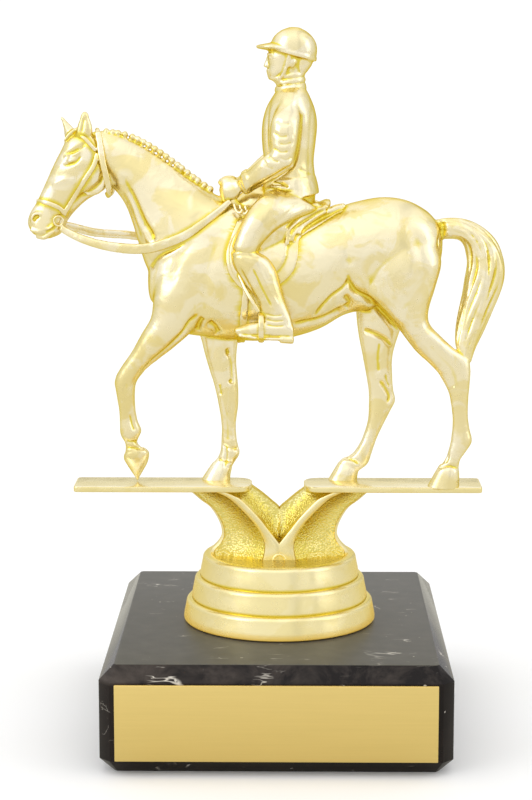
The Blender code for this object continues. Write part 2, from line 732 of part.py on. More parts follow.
def block():
    """The marble block with its edges chamfered."""
    clay = bmesh.new()
    bmesh.ops.create_cube(clay, size=1.0)
    for vert in clay.verts:
        vert.co.x *= BLOCK_WIDTH
        vert.co.y *= BLOCK_DEPTH
        vert.co.z = (vert.co.z + 0.5) * BLOCK_HEIGHT
    upright = [e for e in clay.edges if abs(e.verts[0].co.z - e.verts[1].co.z) > BLOCK_HEIGHT / 2]
    bmesh.ops.bevel(clay, geom=upright, offset=CORNER_CHAMFER, segments=1, affect="EDGES", profile=0.5)
    for height, offset in ((BLOCK_HEIGHT, TOP_CHAMFER), (0.0, FOOT_CHAMFER)):
        level = [e for e in clay.edges if all(abs(v.co.z - height) < 1e-6 for v in e.verts)]
        bmesh.ops.bevel(clay, geom=level, offset=offset, segments=1, affect="EDGES", profile=0.5)
    return made_object(clay, "marble_block")


def name_plate():
    """The flat plate on the block's front."""
    clay = bmesh.new()
    bmesh.ops.create_cube(clay, size=1.0)
    for vert in clay.verts:
        vert.co.x *= NAME_PLATE_WIDTH
        vert.co.y *= NAME_PLATE_THICKNESS
        vert.co.z *= NAME_PLATE_HEIGHT
    front = [e for e in clay.edges if all(v.co.y < 0 for v in e.verts)]
    bmesh.ops.bevel(clay, geom=front, offset=NAME_PLATE_ROUNDING, segments=1, affect="EDGES", profile=0.5)
    made = made_object(clay, "name_plate")
    face_middle = (FOOT_CHAMFER + BLOCK_HEIGHT - TOP_CHAMFER) / 2
    made.location = (0, -BLOCK_DEPTH / 2 - SEAT_GAP - NAME_PLATE_THICKNESS / 2, face_middle)
    return made


def material(name, colour, roughness, metallic):
    made = bpy.data.materials.new(name)
    made.use_nodes = True
    shader = made.node_tree.nodes["Principled BSDF"]
    shader.inputs["Base Color"].default_value = (*colour, 1.0)
    shader.inputs["Roughness"].default_value = roughness
    shader.inputs["Metallic"].default_value = metallic
    return made


for old in list(bpy.data.objects):
    bpy.data.objects.remove(old)

figure = horse_and_rider()
arms = [facing_out(riser_arm(side)) for side in (-1, 1)]
plates = [facing_out(plate(side)) for side in (-1, 1)]
join(figure, [foot()] + arms + plates)
figure.data.materials.append(material("gold_plating", (0.83, 0.66, 0.27), 0.16, 1.0))
stone = block()
stone.data.materials.append(material("black_marble", (0.018, 0.016, 0.015), 0.12, 0.0))
tag = name_plate()
tag.data.materials.append(material("satin_gold", (0.72, 0.55, 0.26), 0.38, 1.0))
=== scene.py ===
import math

import bmesh
import bpy
import numpy as np
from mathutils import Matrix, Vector
from mathutils.bvhtree import BVHTree


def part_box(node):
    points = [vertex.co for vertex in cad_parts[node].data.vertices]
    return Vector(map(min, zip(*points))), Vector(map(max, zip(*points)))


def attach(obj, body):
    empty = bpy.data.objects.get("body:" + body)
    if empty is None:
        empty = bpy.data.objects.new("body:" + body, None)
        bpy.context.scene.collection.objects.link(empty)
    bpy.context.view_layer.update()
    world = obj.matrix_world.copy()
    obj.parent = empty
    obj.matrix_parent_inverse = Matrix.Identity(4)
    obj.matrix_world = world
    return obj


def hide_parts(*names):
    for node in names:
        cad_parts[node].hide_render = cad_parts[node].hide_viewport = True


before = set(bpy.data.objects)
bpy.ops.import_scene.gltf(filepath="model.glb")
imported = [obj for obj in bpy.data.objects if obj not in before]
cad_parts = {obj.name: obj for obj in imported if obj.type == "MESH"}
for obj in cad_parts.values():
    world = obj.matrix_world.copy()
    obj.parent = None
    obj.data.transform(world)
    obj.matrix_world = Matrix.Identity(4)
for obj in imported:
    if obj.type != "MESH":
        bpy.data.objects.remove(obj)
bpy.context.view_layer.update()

# The drawing grid: squares of a millimetre from the plates' top, seen flat on from the horse's left side.
SQUARE = 0.001
PLATES_TOP = 0.0586
# The plates' top above the block's underside, in squares
PLATES_UP = 58.6
MIDDLE_LINE = -0.0032
# The middle of the riser and the foot, along X
RISER_X = 0.0004
# Where the eye stands, in squares, so that what is nearer or farther is drawn where it is seen.
EYE_X = 3.5
EYE_HEIGHT = 101.8
EYE_DISTANCE = 507.5

# Boxes of the two plain pieces, as the solids have them, and the foot's underside just above the block
BLOCK_LOW, BLOCK_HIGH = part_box("marble_block")
TAG_LOW, TAG_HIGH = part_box("name_plate")
FOOT_BASE = BLOCK_HIGH[2] + 0.0003


def place(x, height, y, seen=None):
    """A point of the drawing in metres. seen is the y that its reading is set back or forward by."""
    seen = y if seen is None else seen
    share = (EYE_DISTANCE + seen) / EYE_DISTANCE
    x = EYE_X + (x - EYE_X) * share
    height = EYE_HEIGHT + (height - EYE_HEIGHT) * share
    return Vector((x * SQUARE, y * SQUARE + MIDDLE_LINE, height * SQUARE + PLATES_TOP))


def up(points):
    """Heights read from the block's underside, as heights above the plates."""
    return [(p[0], p[1] - PLATES_UP) + tuple(p[2:]) for p in points]


def curve_value(p0, p1, p2, p3, t):
    """A smooth curve's value between p1 and p2, with t going from 0 to 1."""
    return 0.5 * (
        2 * p1
        + (p2 - p0) * t
        + (2 * p0 - 5 * p1 + 4 * p2 - p3) * t * t
        + (3 * p1 - p0 - 3 * p2 + p3) * t * t * t
    )


def eased(rows, steps):
    """Rows of numbers with further rows on a smooth curve between them."""
    made = []
    for i in range(len(rows) - 1):
        around = [rows[max(i - 1, 0)], rows[i], rows[i + 1], rows[min(i + 2, len(rows) - 1)]]
        for k in range(steps):
            made.append([curve_value(*column, k / steps) for column in zip(*around)])
    made.append(list(rows[-1]))
    return made


def pick(thing):
    """Selects one object alone."""
    bpy.ops.object.select_all(action="DESELECT")
    thing.select_set(True)
    bpy.context.view_layer.objects.active = thing


def skin_ball(rings, start, end):
    """A ball whose rings are drawn out to the given rings of points, with its poles at start and end."""
    around = len(rings[0])
    bpy.ops.object.select_all(action="DESELECT")
    bpy.ops.mesh.primitive_uv_sphere_add(segments=around, ring_count=len(rings) + 1, radius=1.0)
    ball = bpy.context.object
    last = len(rings) + 1
    for vert in ball.data.vertices:
        x, y, z = vert.co
        level = round(math.acos(max(-1.0, min(1.0, z))) / math.pi * last)
        if level == 0:
            vert.co = start
        elif level == last:
            vert.co = end
        else:
            vert.co = rings[level - 1][round(math.atan2(y, x) / (2 * math.pi) * around) % around]
    return ball


def rounded_ends(rows, caps):
    """The rows with a rounded end added beyond each end."""
    made = list(rows)
    for first, reach in ((True, caps[0]), (False, caps[1])):
        row = rows[0] if first else rows[-1]
        inner = rows[1] if first else rows[-2]
        middle = Vector(((row[0] + row[2]) / 2, (row[1] + row[3]) / 2, row[4]))
        before = Vector(((inner[0] + inner[2]) / 2, (inner[1] + inner[3]) / 2, inner[4]))
        way = (middle - before).normalized() * reach
        added = []
        for turn in (25, 50, 70, 84):
            size = math.cos(math.radians(turn))
            half = Vector((row[2] - row[0], row[3] - row[1])) / 2 * size
            x, height, y = middle + way * math.sin(math.radians(turn))
            edges = [x - half.x, height - half.y, x + half.x, height + half.y]
            added.append(edges + [y, row[5] * size] + row[6:])
        made = added[::-1] + made if first else made + added
    return made


def form(stations, caps=(1.0, 1.0), around=28, steps=5, both=False):
    """A limb or body. Each station has its two edges as drawn (x, height, x, height), its middle's y, its
    half width, how much wider its second edge is than its first, and how square its section is."""
    rows = [list(s) + [0.0] * (8 - len(s)) for s in stations]
    rows = rounded_ends(eased(rows, steps), caps)
    made = []
    for side in (1, -1) if both else (1,):
        rings = []
        for xa, ha, xb, hb, y, width, egg, square in rows:
            ring = []
            for i in range(around):
                turn = 2 * math.pi * i / around
                along = math.cos(turn)
                across = math.sin(turn)
                full = (1 - square) + square / max(abs(along), abs(across))
                along *= full
                across *= full * (1 + egg * along)
                x = (xa + xb) / 2 + (xb - xa) / 2 * along
                height = (ha + hb) / 2 + (hb - ha) / 2 * along
                ring.append(place(x, height, side * (y + width * across), seen=-abs(y) if both else y))
            rings.append(ring)
        start = sum(rings[0], Vector()) / around
        end = sum(rings[-1], Vector()) / around
        made.append(skin_ball(rings, start, end))
    return made


def cord(path, around=10, steps=5, both=False):
    """A round or flat strand. Each point has x, height, y, its half height and its half thickness."""
    made = []
    for side in (1, -1) if both else (1,):
        rows = eased([list(p) for p in path], steps)
        spots = [place(r[0], r[1], side * r[2], seen=-abs(r[2]) if both else r[2]) for r in rows]
        rings = []
        for i, row in enumerate(rows):
            way = (spots[min(i + 1, len(rows) - 1)] - spots[max(i - 1, 0)]).normalized()
            flat = Vector((0, 1, 0)) - way * way.y
            flat.normalize()
            tall = way.cross(flat)
            ring = []
            for k in range(around):
                turn = 2 * math.pi * k / around
                rise = math.copysign(abs(math.cos(turn)) ** 0.7, math.cos(turn)) * row[3] * SQUARE
                out = math.copysign(abs(math.sin(turn)) ** 0.7, math.sin(turn)) * row[4] * SQUARE
                ring.append(spots[i] + tall * rise + flat * out)
            rings.append(ring)
        made.append(skin_ball(rings, spots[0], spots[-1]))
    return made


def ball(x, height, y, sizes, both=False, turn=0.0):
    """A ball with its three half sizes in squares, turned in the drawing's plane."""
    made = []
    for side in (1, -1) if both else (1,):
        bpy.ops.object.select_all(action="DESELECT")
        bpy.ops.mesh.primitive_uv_sphere_add(segments=20, ring_count=12, radius=1.0)
        thing = bpy.context.object
        middle = place(x, height, side * y, seen=-abs(y) if both else y)
        c = math.cos(math.radians(turn))
        s = math.sin(math.radians(turn))
        for vert in thing.data.vertices:
            a, b, d = (value * size * SQUARE for value, size in zip(vert.co, (sizes[0], sizes[2], sizes[1])))
            vert.co = middle + Vector((a * c - d * s, b, a * s + d * c))
        made.append(thing)
    return made


def gather(name, things):
    """Joins things into one object."""
    bpy.ops.object.select_all(action="DESELECT")
    for thing in things:
        thing.select_set(True)
    bpy.context.view_layer.objects.active = things[0]
    bpy.ops.object.join()
    made = bpy.context.object
    made.name = name
    made.data.name = name
    return made


def fuse(thing, voxel, soften):
    """Melts the joined shapes into one skin, and softens it."""
    pick(thing)
    melt = thing.modifiers.new("melt", "REMESH")
    melt.mode = "VOXEL"
    melt.voxel_size = voxel * SQUARE
    bpy.ops.object.modifier_apply(modifier="melt")
    relax = thing.modifiers.new("soften", "SMOOTH")
    relax.factor = 0.5
    relax.iterations = soften
    bpy.ops.object.modifier_apply(modifier="soften")
    return thing


def lighten(thing, most):
    """Brings the piece under the given number of triangles."""
    pick(thing)
    count = sum(len(face.vertices) - 2 for face in thing.data.polygons)
    if count > most:
        thin = thing.modifiers.new("thin", "DECIMATE")
        thin.ratio = most / count
        bpy.ops.object.modifier_apply(modifier="thin")
    bpy.ops.object.shade_smooth()


def read_points(thing):
    """The piece's points and their normals as arrays."""
    count = len(thing.data.vertices)
    points = np.empty(count * 3)
    thing.data.vertices.foreach_get("co", points)
    normals = np.empty(count * 3)
    thing.data.vertices.foreach_get("normal", normals)
    return points.reshape(-1, 3), normals.reshape(-1, 3)


def write_points(thing, points):
    thing.data.vertices.foreach_set("co", points.ravel())
    thing.data.update()


def drawn_places(points):
    """Where each point is seen in the drawing: x, height and y in squares."""
    y = (points[:, 1] - MIDDLE_LINE) / SQUARE
    share = (EYE_DISTANCE - np.abs(y)) / EYE_DISTANCE
    x = EYE_X + (points[:, 0] / SQUARE - EYE_X) / share
    height = EYE_HEIGHT + ((points[:, 2] - PLATES_TOP) / SQUARE - EYE_HEIGHT) / share
    return x, height, y


def distance_to_line(x, height, line):
    """Each point's distance to a drawn line, and how far along the line its nearest place is."""
    nearest = np.full(len(x), 1e9)
    along = np.zeros(len(x))
    for i in range(len(line) - 1):
        ax, ah = line[i][:2]
        bx, bh = line[i + 1][:2]
        length = (bx - ax) ** 2 + (bh - ah) ** 2 or 1e-9
        t = np.clip(((x - ax) * (bx - ax) + (height - ah) * (bh - ah)) / length, 0, 1)
        reach = np.hypot(x - ax - t * (bx - ax), height - ah - t * (bh - ah))
        closer = reach < nearest
        nearest[closer] = reach[closer]
        along[closer] = (i + t[closer]) / (len(line) - 1)
    return nearest, along


def carve(thing, strokes):
    """Presses grooves into the skin and raises ridges on it, along drawn lines.
    Each stroke has its half width, its depth (a ridge's is negative), which side it is on (-1 near, 1 far,
    0 both), and the points of its line, with heights from the block's underside."""
    points, normals = read_points(thing)
    x, height, y = drawn_places(points)
    moved = np.zeros(len(points))
    for width, depth, side, *line in strokes:
        line = eased([list(p) for p in up(line)], 4)
        margin = width * 3
        inside = np.ones(len(points), dtype=bool)
        for axis, reading in enumerate((x, height)):
            inside &= reading > min(p[axis] for p in line) - margin
            inside &= reading < max(p[axis] for p in line) + margin
        if side:
            inside &= y * side > 0
        index = np.nonzero(inside)[0]
        if not len(index):
            continue
        reach, along = distance_to_line(x[index], height[index], line)
        fade = np.minimum(1.0, np.minimum(along, 1 - along) * 5 + 0.15)
        facing = np.clip(np.abs(normals[index, 1]) * 1.6, 0, 1)
        moved[index] -= depth * np.exp(-((reach / width) ** 2)) * fade * facing
    write_points(thing, points + normals * (moved * SQUARE)[:, None])


def hollow_depth(thing, rounds, scale):
    """How deep in a hollow each point lies, by how far a thorough smoothing would lift it."""
    points, normals = read_points(thing)
    count = len(points)
    edges = np.empty(len(thing.data.edges) * 2, dtype=np.int32)
    thing.data.edges.foreach_get("vertices", edges)
    a, b = edges[::2], edges[1::2]
    share = np.maximum(np.bincount(a, minlength=count) + np.bincount(b, minlength=count), 1)
    settled = points.copy()
    for _ in range(rounds):
        for axis in range(3):
            column = settled[:, axis]
            total = np.bincount(a, weights=column[b], minlength=count)
            total += np.bincount(b, weights=column[a], minlength=count)
            settled[:, axis] = 0.3 * column + 0.7 * total / share
    depth = np.clip(((settled - points) * normals).sum(axis=1) / SQUARE / scale, -1, 1)
    for _ in range(2):
        total = np.bincount(a, weights=depth[b], minlength=count)
        total += np.bincount(b, weights=depth[a], minlength=count)
        depth = 0.5 * depth + 0.5 * total / share
    return depth


def paint_shade_in_hollows(thing, trees, reach):
    """Stores how sheltered each point is, in hollows and beside other pieces, as the painted shade that
    turns the plating deep yellow there.
    """
    narrow = hollow_depth(thing, rounds=12, scale=0.1)
    broad = hollow_depth(thing, rounds=60, scale=0.5)
    depth = np.maximum(narrow, 0.75 * broad)
    for other, tree in trees.items():
        if other == thing.name:
            continue
        for i, vert in enumerate(thing.data.vertices):
            gap = tree.find_nearest(vert.co, reach * SQUARE)[3]
            if gap is not None:
                depth[i] = max(depth[i], 1 - gap / SQUARE / reach)
    layer = thing.data.attributes.new("hollow", "FLOAT", "POINT")
    layer.data.foreach_set("value", depth.astype(np.float32))


# The horse

def horse_trunk():
    things = form([
        (-29.3, 56, -29.8, 43.6, 0, 4.8), (-26, 61, -26.5, 38.8, 0, 7),
        (-21.5, 66, -22.5, 36.2, 0, 8.2, 0.08), (-16, 68.6, -16, 35.3, 0, 8.7, 0.2),
        (-10, 68.4, -10, 34.6, 0, 9, 0.2), (-3, 66.4, -4, 34.4, 0, 9.4, 0.12),
        (4, 64.6, 3, 35.2, 0, 9.6, 0.05), (11, 65.2, 10, 37.4, 0, 9.4), (17, 67.2, 16, 40.8, 0, 8.9),
        (24, 68.6, 22, 42, 0, 8.7), (30, 68, 28, 44, 0, 8.3), (35, 65.5, 33, 46.5, 0, 7),
        (37.8, 62.5, 36.8, 50, 0, 5),
    ], caps=(1.3, 1.6), around=44)
    things += form([
        (-43.5, 84, -43, 74, 0, 2.5, 0.1), (-40, 83.9, -38.7, 70.4, 0, 2.9, 0.15),
        (-35.5, 82.4, -36, 66.6, 0, 3.3, 0.2), (-30.5, 79.8, -34.3, 62, 0, 3.9, 0.25),
        (-25.5, 76.4, -32.9, 57.2, 0, 4.8, 0.25), (-20.5, 72.8, -31.2, 52, 0, 6, 0.2),
        (-15.5, 69.6, -28, 46.5, 0, 7.2, 0.1), (-10, 67.5, -22, 44, 0, 7.4),
    ], around=36)
    return things


def horse_head():
    return form([
        (-46, 84.4, -41, 80, 0, 2.8), (-49.4, 82.6, -39.9, 75.4, 0, 3.7),
        (-51.2, 79.4, -39.9, 71.8, 0, 4, -0.1), (-52.9, 76.2, -42.2, 69.6, 0, 3.5, -0.1),
        (-54.4, 73, -45.2, 67.8, 0, 2.9), (-55.9, 69.8, -47.8, 65.4, 0, 2.4),
        (-57.2, 67.2, -49.6, 63.2, 0, 2.2), (-58.7, 64.8, -50.5, 61.3, 0, 2.4),
        (-59.3, 62.4, -51.5, 59.8, 0, 2.6), (-58.6, 60.6, -53.6, 58.9, 0, 2.2),
    ], caps=(0.8, 0.7), around=32)


def leg(upper, lower):
    return form(upper, caps=(6, 1), around=28) + form(lower, caps=(0.8, 0.5), around=24)


def horse_legs():
    things = leg(
        [
            (21, 57, 37, 58.5, -3.4, 4.5), (19, 51, 38.8, 53.5, -4.3, 4.9),
            (20, 46.4, 37.4, 47.2, -4.6, 4.5), (24.3, 42.4, 35.9, 42, -4.6, 3.8),
            (28.6, 37.4, 36.1, 38.6, -4.5, 3.1), (32.6, 32.2, 38.8, 35.6, -4.4, 2.5),
            (36.4, 28.6, 42.4, 32.4, -4.4, 2), (39.4, 25.2, 45.6, 30.2, -4.4, 1.8),
            (41, 22, 45.9, 26, -4.4, 1.6),
        ],
        [
            (38.6, 26, 45.6, 30.3, -4.4, 1.7), (40.6, 22.4, 46.1, 27.2, -4.4, 1.7),
            (41.4, 19, 45.7, 21.5, -4.3, 1.5), (41.8, 15.5, 45.6, 16.5, -4.3, 1.35),
            (41.7, 12.6, 46.1, 13, -4.2, 1.4), (41.4, 10, 46.7, 10.2, -4.2, 1.6),
            (41, 8.2, 45.4, 7.8, -4.2, 1.5), (40.3, 6, 43.9, 5.6, -4.2, 1.35),
            (39.1, 4.2, 43.5, 3.2, -4.2, 1.6),
        ],
    )
    things += leg(
        [
            (20, 50, 34, 52, 3.8, 4.6), (18.6, 43, 32, 44, 4.2, 4.3), (19, 37, 29.5, 38, 4.2, 3.4),
            (20, 31.7, 27.6, 32, 4.2, 2.5), (21, 26.7, 27.1, 27, 4.2, 2),
        ],
        [
            (20.4, 29.5, 27.2, 29.8, 4.2, 2.2), (21.6, 22.8, 27.6, 23, 4.2, 1.8),
            (21.7, 18.8, 28.2, 20.2, 4.2, 1.75), (21.5, 15.2, 27, 17.6, 4.2, 1.6),
            (20.6, 12, 25.2, 13.9, 4.2, 1.4), (19.6, 9.6, 23.8, 10.8, 4.2, 1.35),
            (17.8, 7, 22.6, 7.2, 4.2, 1.6), (15.6, 6, 21.7, 4.6, 4.2, 1.6),
            (14.4, 4.8, 19.6, 2.9, 4.2, 1.6),
        ],
    )
    things += leg(
        [
            (-28, 53, -13.5, 55, -4, 4.1), (-29.6, 45, -15.5, 46, -4.6, 4),
            (-30.3, 40, -19.6, 37.8, -4.5, 3.4), (-32.6, 36, -24, 33.4, -4.2, 2.9),
            (-34.8, 32, -28.6, 29.8, -3.7, 2.4), (-37, 28.8, -32, 27, -3.3, 2.1),
            (-38.8, 26, -33.6, 24.8, -3, 2),
        ],
        [
            (-36.2, 29.6, -31.4, 27.6, -3.3, 2.1), (-39, 25.2, -33.7, 24.6, -2.9, 2.1),
            (-38.8, 21.8, -34.2, 21.8, -2.6, 1.9), (-38.2, 17.8, -34.1, 18, -2.2, 1.5),
            (-38, 14.4, -33.6, 15, -1.8, 1.45), (-37.9, 11.6, -32.7, 12.6, -1.5, 1.7),
            (-36.8, 9.6, -33.8, 10, -1.2, 1.35), (-36.7, 8.2, -33.2, 8.9, -1, 1.4),
            (-36.9, 7, -32.2, 8.2, -0.8, 1.5),
        ],
    )
    things += leg(
        [
            (-24, 50, -9, 50, 4.4, 4.2), (-21, 41, -8.8, 41, 4.6, 3.8), (-18.6, 35.5, -9.4, 35.2, 4.4, 3),
            (-17.4, 30.8, -9.9, 30.5, 4.2, 2.5), (-16, 26, -9.8, 25.6, 4.1, 2.2),
        ],
        [
            (-16.6, 28.5, -9.8, 28, 4.2, 2.3), (-15, 22.6, -9.4, 22, 4, 2.1),
            (-14.2, 18.6, -9.5, 18.4, 4, 1.8), (-13.6, 14.6, -10, 14.4, 4, 1.45),
            (-13.6, 10.6, -9.8, 10.4, 4, 1.45), (-13.9, 7.4, -9.1, 7.2, 4, 1.7),
            (-14.9, 5.6, -10.4, 4.9, 4, 1.55), (-15.9, 4.4, -11.4, 3, 4, 1.6),
        ],
    )
    return things


def horse_hooves():
    """Each hoof widens from the coronet to the flat sole."""
    things = []
    for stations in (
        [
            (38.9, 4.4, 43.5, 3.6, -4.2, 1.6), (38.3, 3.4, 43.6, 2.9, -4.2, 2),
            (37.4, 1.8, 43.7, 1.5, -4.2, 2.25), (36.1, -0.7, 43.7, -0.7, -4.2, 2.5),
            (35.9, -1.3, 43.7, -1.3, -4.2, 2.55),
        ],
        [
            (14.6, 5, 19.6, 3.4, 4.2, 1.6), (14, 4, 19.4, 2.7, 4.2, 2), (13, 2.3, 19.2, 1.8, 4.2, 2.3),
            (11.8, 0.2, 19, 0.2, 4.2, 2.6),
        ],
        [
            (-37, 6.8, -32.2, 8.5, -0.8, 1.6), (-37.1, 5.7, -31, 7.3, -0.4, 2),
            (-36.3, 4.2, -31.3, 5, 0.3, 1.9), (-35.3, 2.6, -32.4, 2.9, 0.8, 1.3),
            (-34.4, 1.2, -33.3, 1.3, 1.2, 0.6), (-34.1, 0.4, -33.7, 0.4, 1.4, 0.3),
        ],
        [
            (-15.6, 4.9, -11, 3.6, 4, 1.6), (-16.4, 3.8, -11.2, 2.8, 4, 2),
            (-17.4, 2.3, -11.4, 1.8, 4, 2.3), (-18.7, 0.2, -11.5, 0.2, 4, 2.6),
        ],
    ):
        things += form(stations, caps=(0.3, 0.05), steps=4)
    return things


def horse_tail():
    """Strands laid side by side over a core. They wander a little, and end at the left hock."""
    stations = [
        (36.5, 63, 36.5, 58.4, 0, 1.4), (39.5, 63.6, 39.8, 58.9, 0, 1.7), (44, 63.3, 42.6, 58.7, 0, 2.1),
        (48.2, 61.4, 43.9, 57.4, -0.1, 2.5), (51.6, 58.2, 44.6, 55.4, -0.2, 2.8),
        (53.3, 54.4, 44.9, 52.4, -0.4, 3), (53.6, 50.4, 44.5, 49.3, -0.7, 3),
        (52.7, 46.6, 43.9, 46, -1, 2.9), (50.8, 41.6, 43.1, 42.5, -1.5, 2.6),
        (48.8, 36.6, 42.5, 38, -2.2, 2.2), (47, 32.4, 42.4, 34, -3, 1.8),
        (46, 29.4, 43.6, 30.6, -3.8, 1.4),
    ]
    core = []
    for a, b, c, d, y, w in stations:
        inset_x = (c - a) * 0.08
        inset_h = (d - b) * 0.08
        core.append((a + inset_x, b + inset_h, c - inset_x, d - inset_h, y, w * 0.86))
    things = form(core, caps=(0.5, 0.5), around=24)
    strands = 22
    for k in range(strands):
        path = []
        for i, (a, b, c, d, y, w) in enumerate(stations):
            turn = 2 * math.pi * (k + 0.45 * math.sin(i * 1.1 + k * 1.7)) / strands
            along = math.cos(turn) * 0.9
            across = math.sin(turn) * 0.88
            size = math.hypot(c - a, d - b) / 2
            thick = (0.115 * size + 0.12) * (1 + 0.2 * math.sin(i * 1.3 + k))
            x = (a + c) / 2 + (c - a) / 2 * along
            height = (b + d) / 2 + (d - b) / 2 * along
            path.append((x, height, y + w * across, thick, thick))
        things += cord(path, around=8, steps=5)
    return things


def horse_ears():
    things = form([
        (-47.6, 82.6, -43.6, 83.2, -1.9, 1.1), (-47.3, 84.8, -43.7, 85.2, -2, 1),
        (-46.5, 87, -44.4, 87.2, -2, 0.65),
    ], caps=(0.3, 1.5), around=14)
    things += form([
        (-50.2, 82.6, -47.2, 83.2, 1.9, 1.05), (-50.4, 84.6, -48, 84.6, 2, 0.95),
        (-50.8, 86.4, -49.7, 86.3, 2.1, 0.6),
    ], caps=(0.3, 1.3), around=14)
    # Forelock between the ears
    for k in range(5):
        y = 1.4 - 0.7 * k
        things += cord([
            (-45.8, 84.8, y * 0.6, 0.3, 0.35), (-47.6, 84.4, y * 0.8, 0.4, 0.4),
            (-49.2, 83.2, y, 0.42, 0.4), (-50.3, 81.8 - 0.3 * (k % 2), y * 1.1, 0.2, 0.25),
        ], around=8)
    return things


def horse_features():
    """Cheek, brow, eye, nostril and lips."""
    things = ball(-44.4, 73.4, 2.2, (4.4, 4.6, 1.9), both=True)
    things += ball(-48.6, 77.2, 3.1, (1.25, 0.8, 1.1), both=True, turn=16)
    things += cord([
        (-50.4, 78.2, 2.6, 0.3, 0.4), (-49, 78.5, 3.2, 0.5, 0.7), (-47.3, 79.2, 3.3, 0.55, 0.8),
        (-45.8, 80.4, 3.1, 0.4, 0.6), (-44.6, 79.8, 3, 0.3, 0.4),
    ], both=True)
    things += cord([
        (-49.9, 76.6, 2.7, 0.25, 0.4), (-48.4, 76, 3.3, 0.3, 0.5), (-46.8, 76.6, 3.4, 0.25, 0.4),
    ], both=True)
    things += cord([
        (-57.9, 62.2, 1.9, 0.3, 0.35), (-58.3, 63.4, 1.8, 0.4, 0.5), (-57.4, 64.6, 2, 0.4, 0.5),
        (-56.2, 64.5, 2.2, 0.25, 0.3),
    ], both=True)
    things += cord([
        (-58.6, 60.9, 1.4, 0.5, 0.6), (-56.6, 60.4, 2, 0.55, 0.6), (-54.4, 60.9, 2.3, 0.5, 0.5),
        (-52.9, 62, 2.4, 0.35, 0.4),
    ], both=True)
    things += cord([
        (-57.2, 59.2, 1, 0.4, 0.6), (-55.2, 59, 1.7, 0.5, 0.7), (-53.3, 60.4, 2, 0.4, 0.5),
    ], both=True)
    return things


def horse_mane():
    """Plaits rolled into a row of knots along the crest."""
    neck = [(-40.4, 142.9), (-36, 142.2), (-32, 140.6), (-28, 138.2), (-24, 135.3), (-20, 132.2)]
    crest = eased(up(neck + [(-16, 129.4)]), 12)
    length = [0]
    for a, b in zip(crest, crest[1:]):
        length.append(length[-1] + math.hypot(b[0] - a[0], b[1] - a[1]))
    things = []
    knots = 19
    end_lean = -36
    for k in range(knots):
        goal = length[-1] * k / (knots - 1)
        i = max(j for j in range(len(crest)) if length[j] <= goal + 1e-9)
        x, height = crest[i]
        lean = end_lean
        if i + 1 < len(crest):
            lean = math.degrees(math.atan2(crest[i + 1][1] - height, crest[i + 1][0] - x))
        things += ball(x, height - 0.35, 0, (0.66 + 0.01 * k, 0.8, 0.92 + 0.015 * k), turn=lean + 8)
    return things


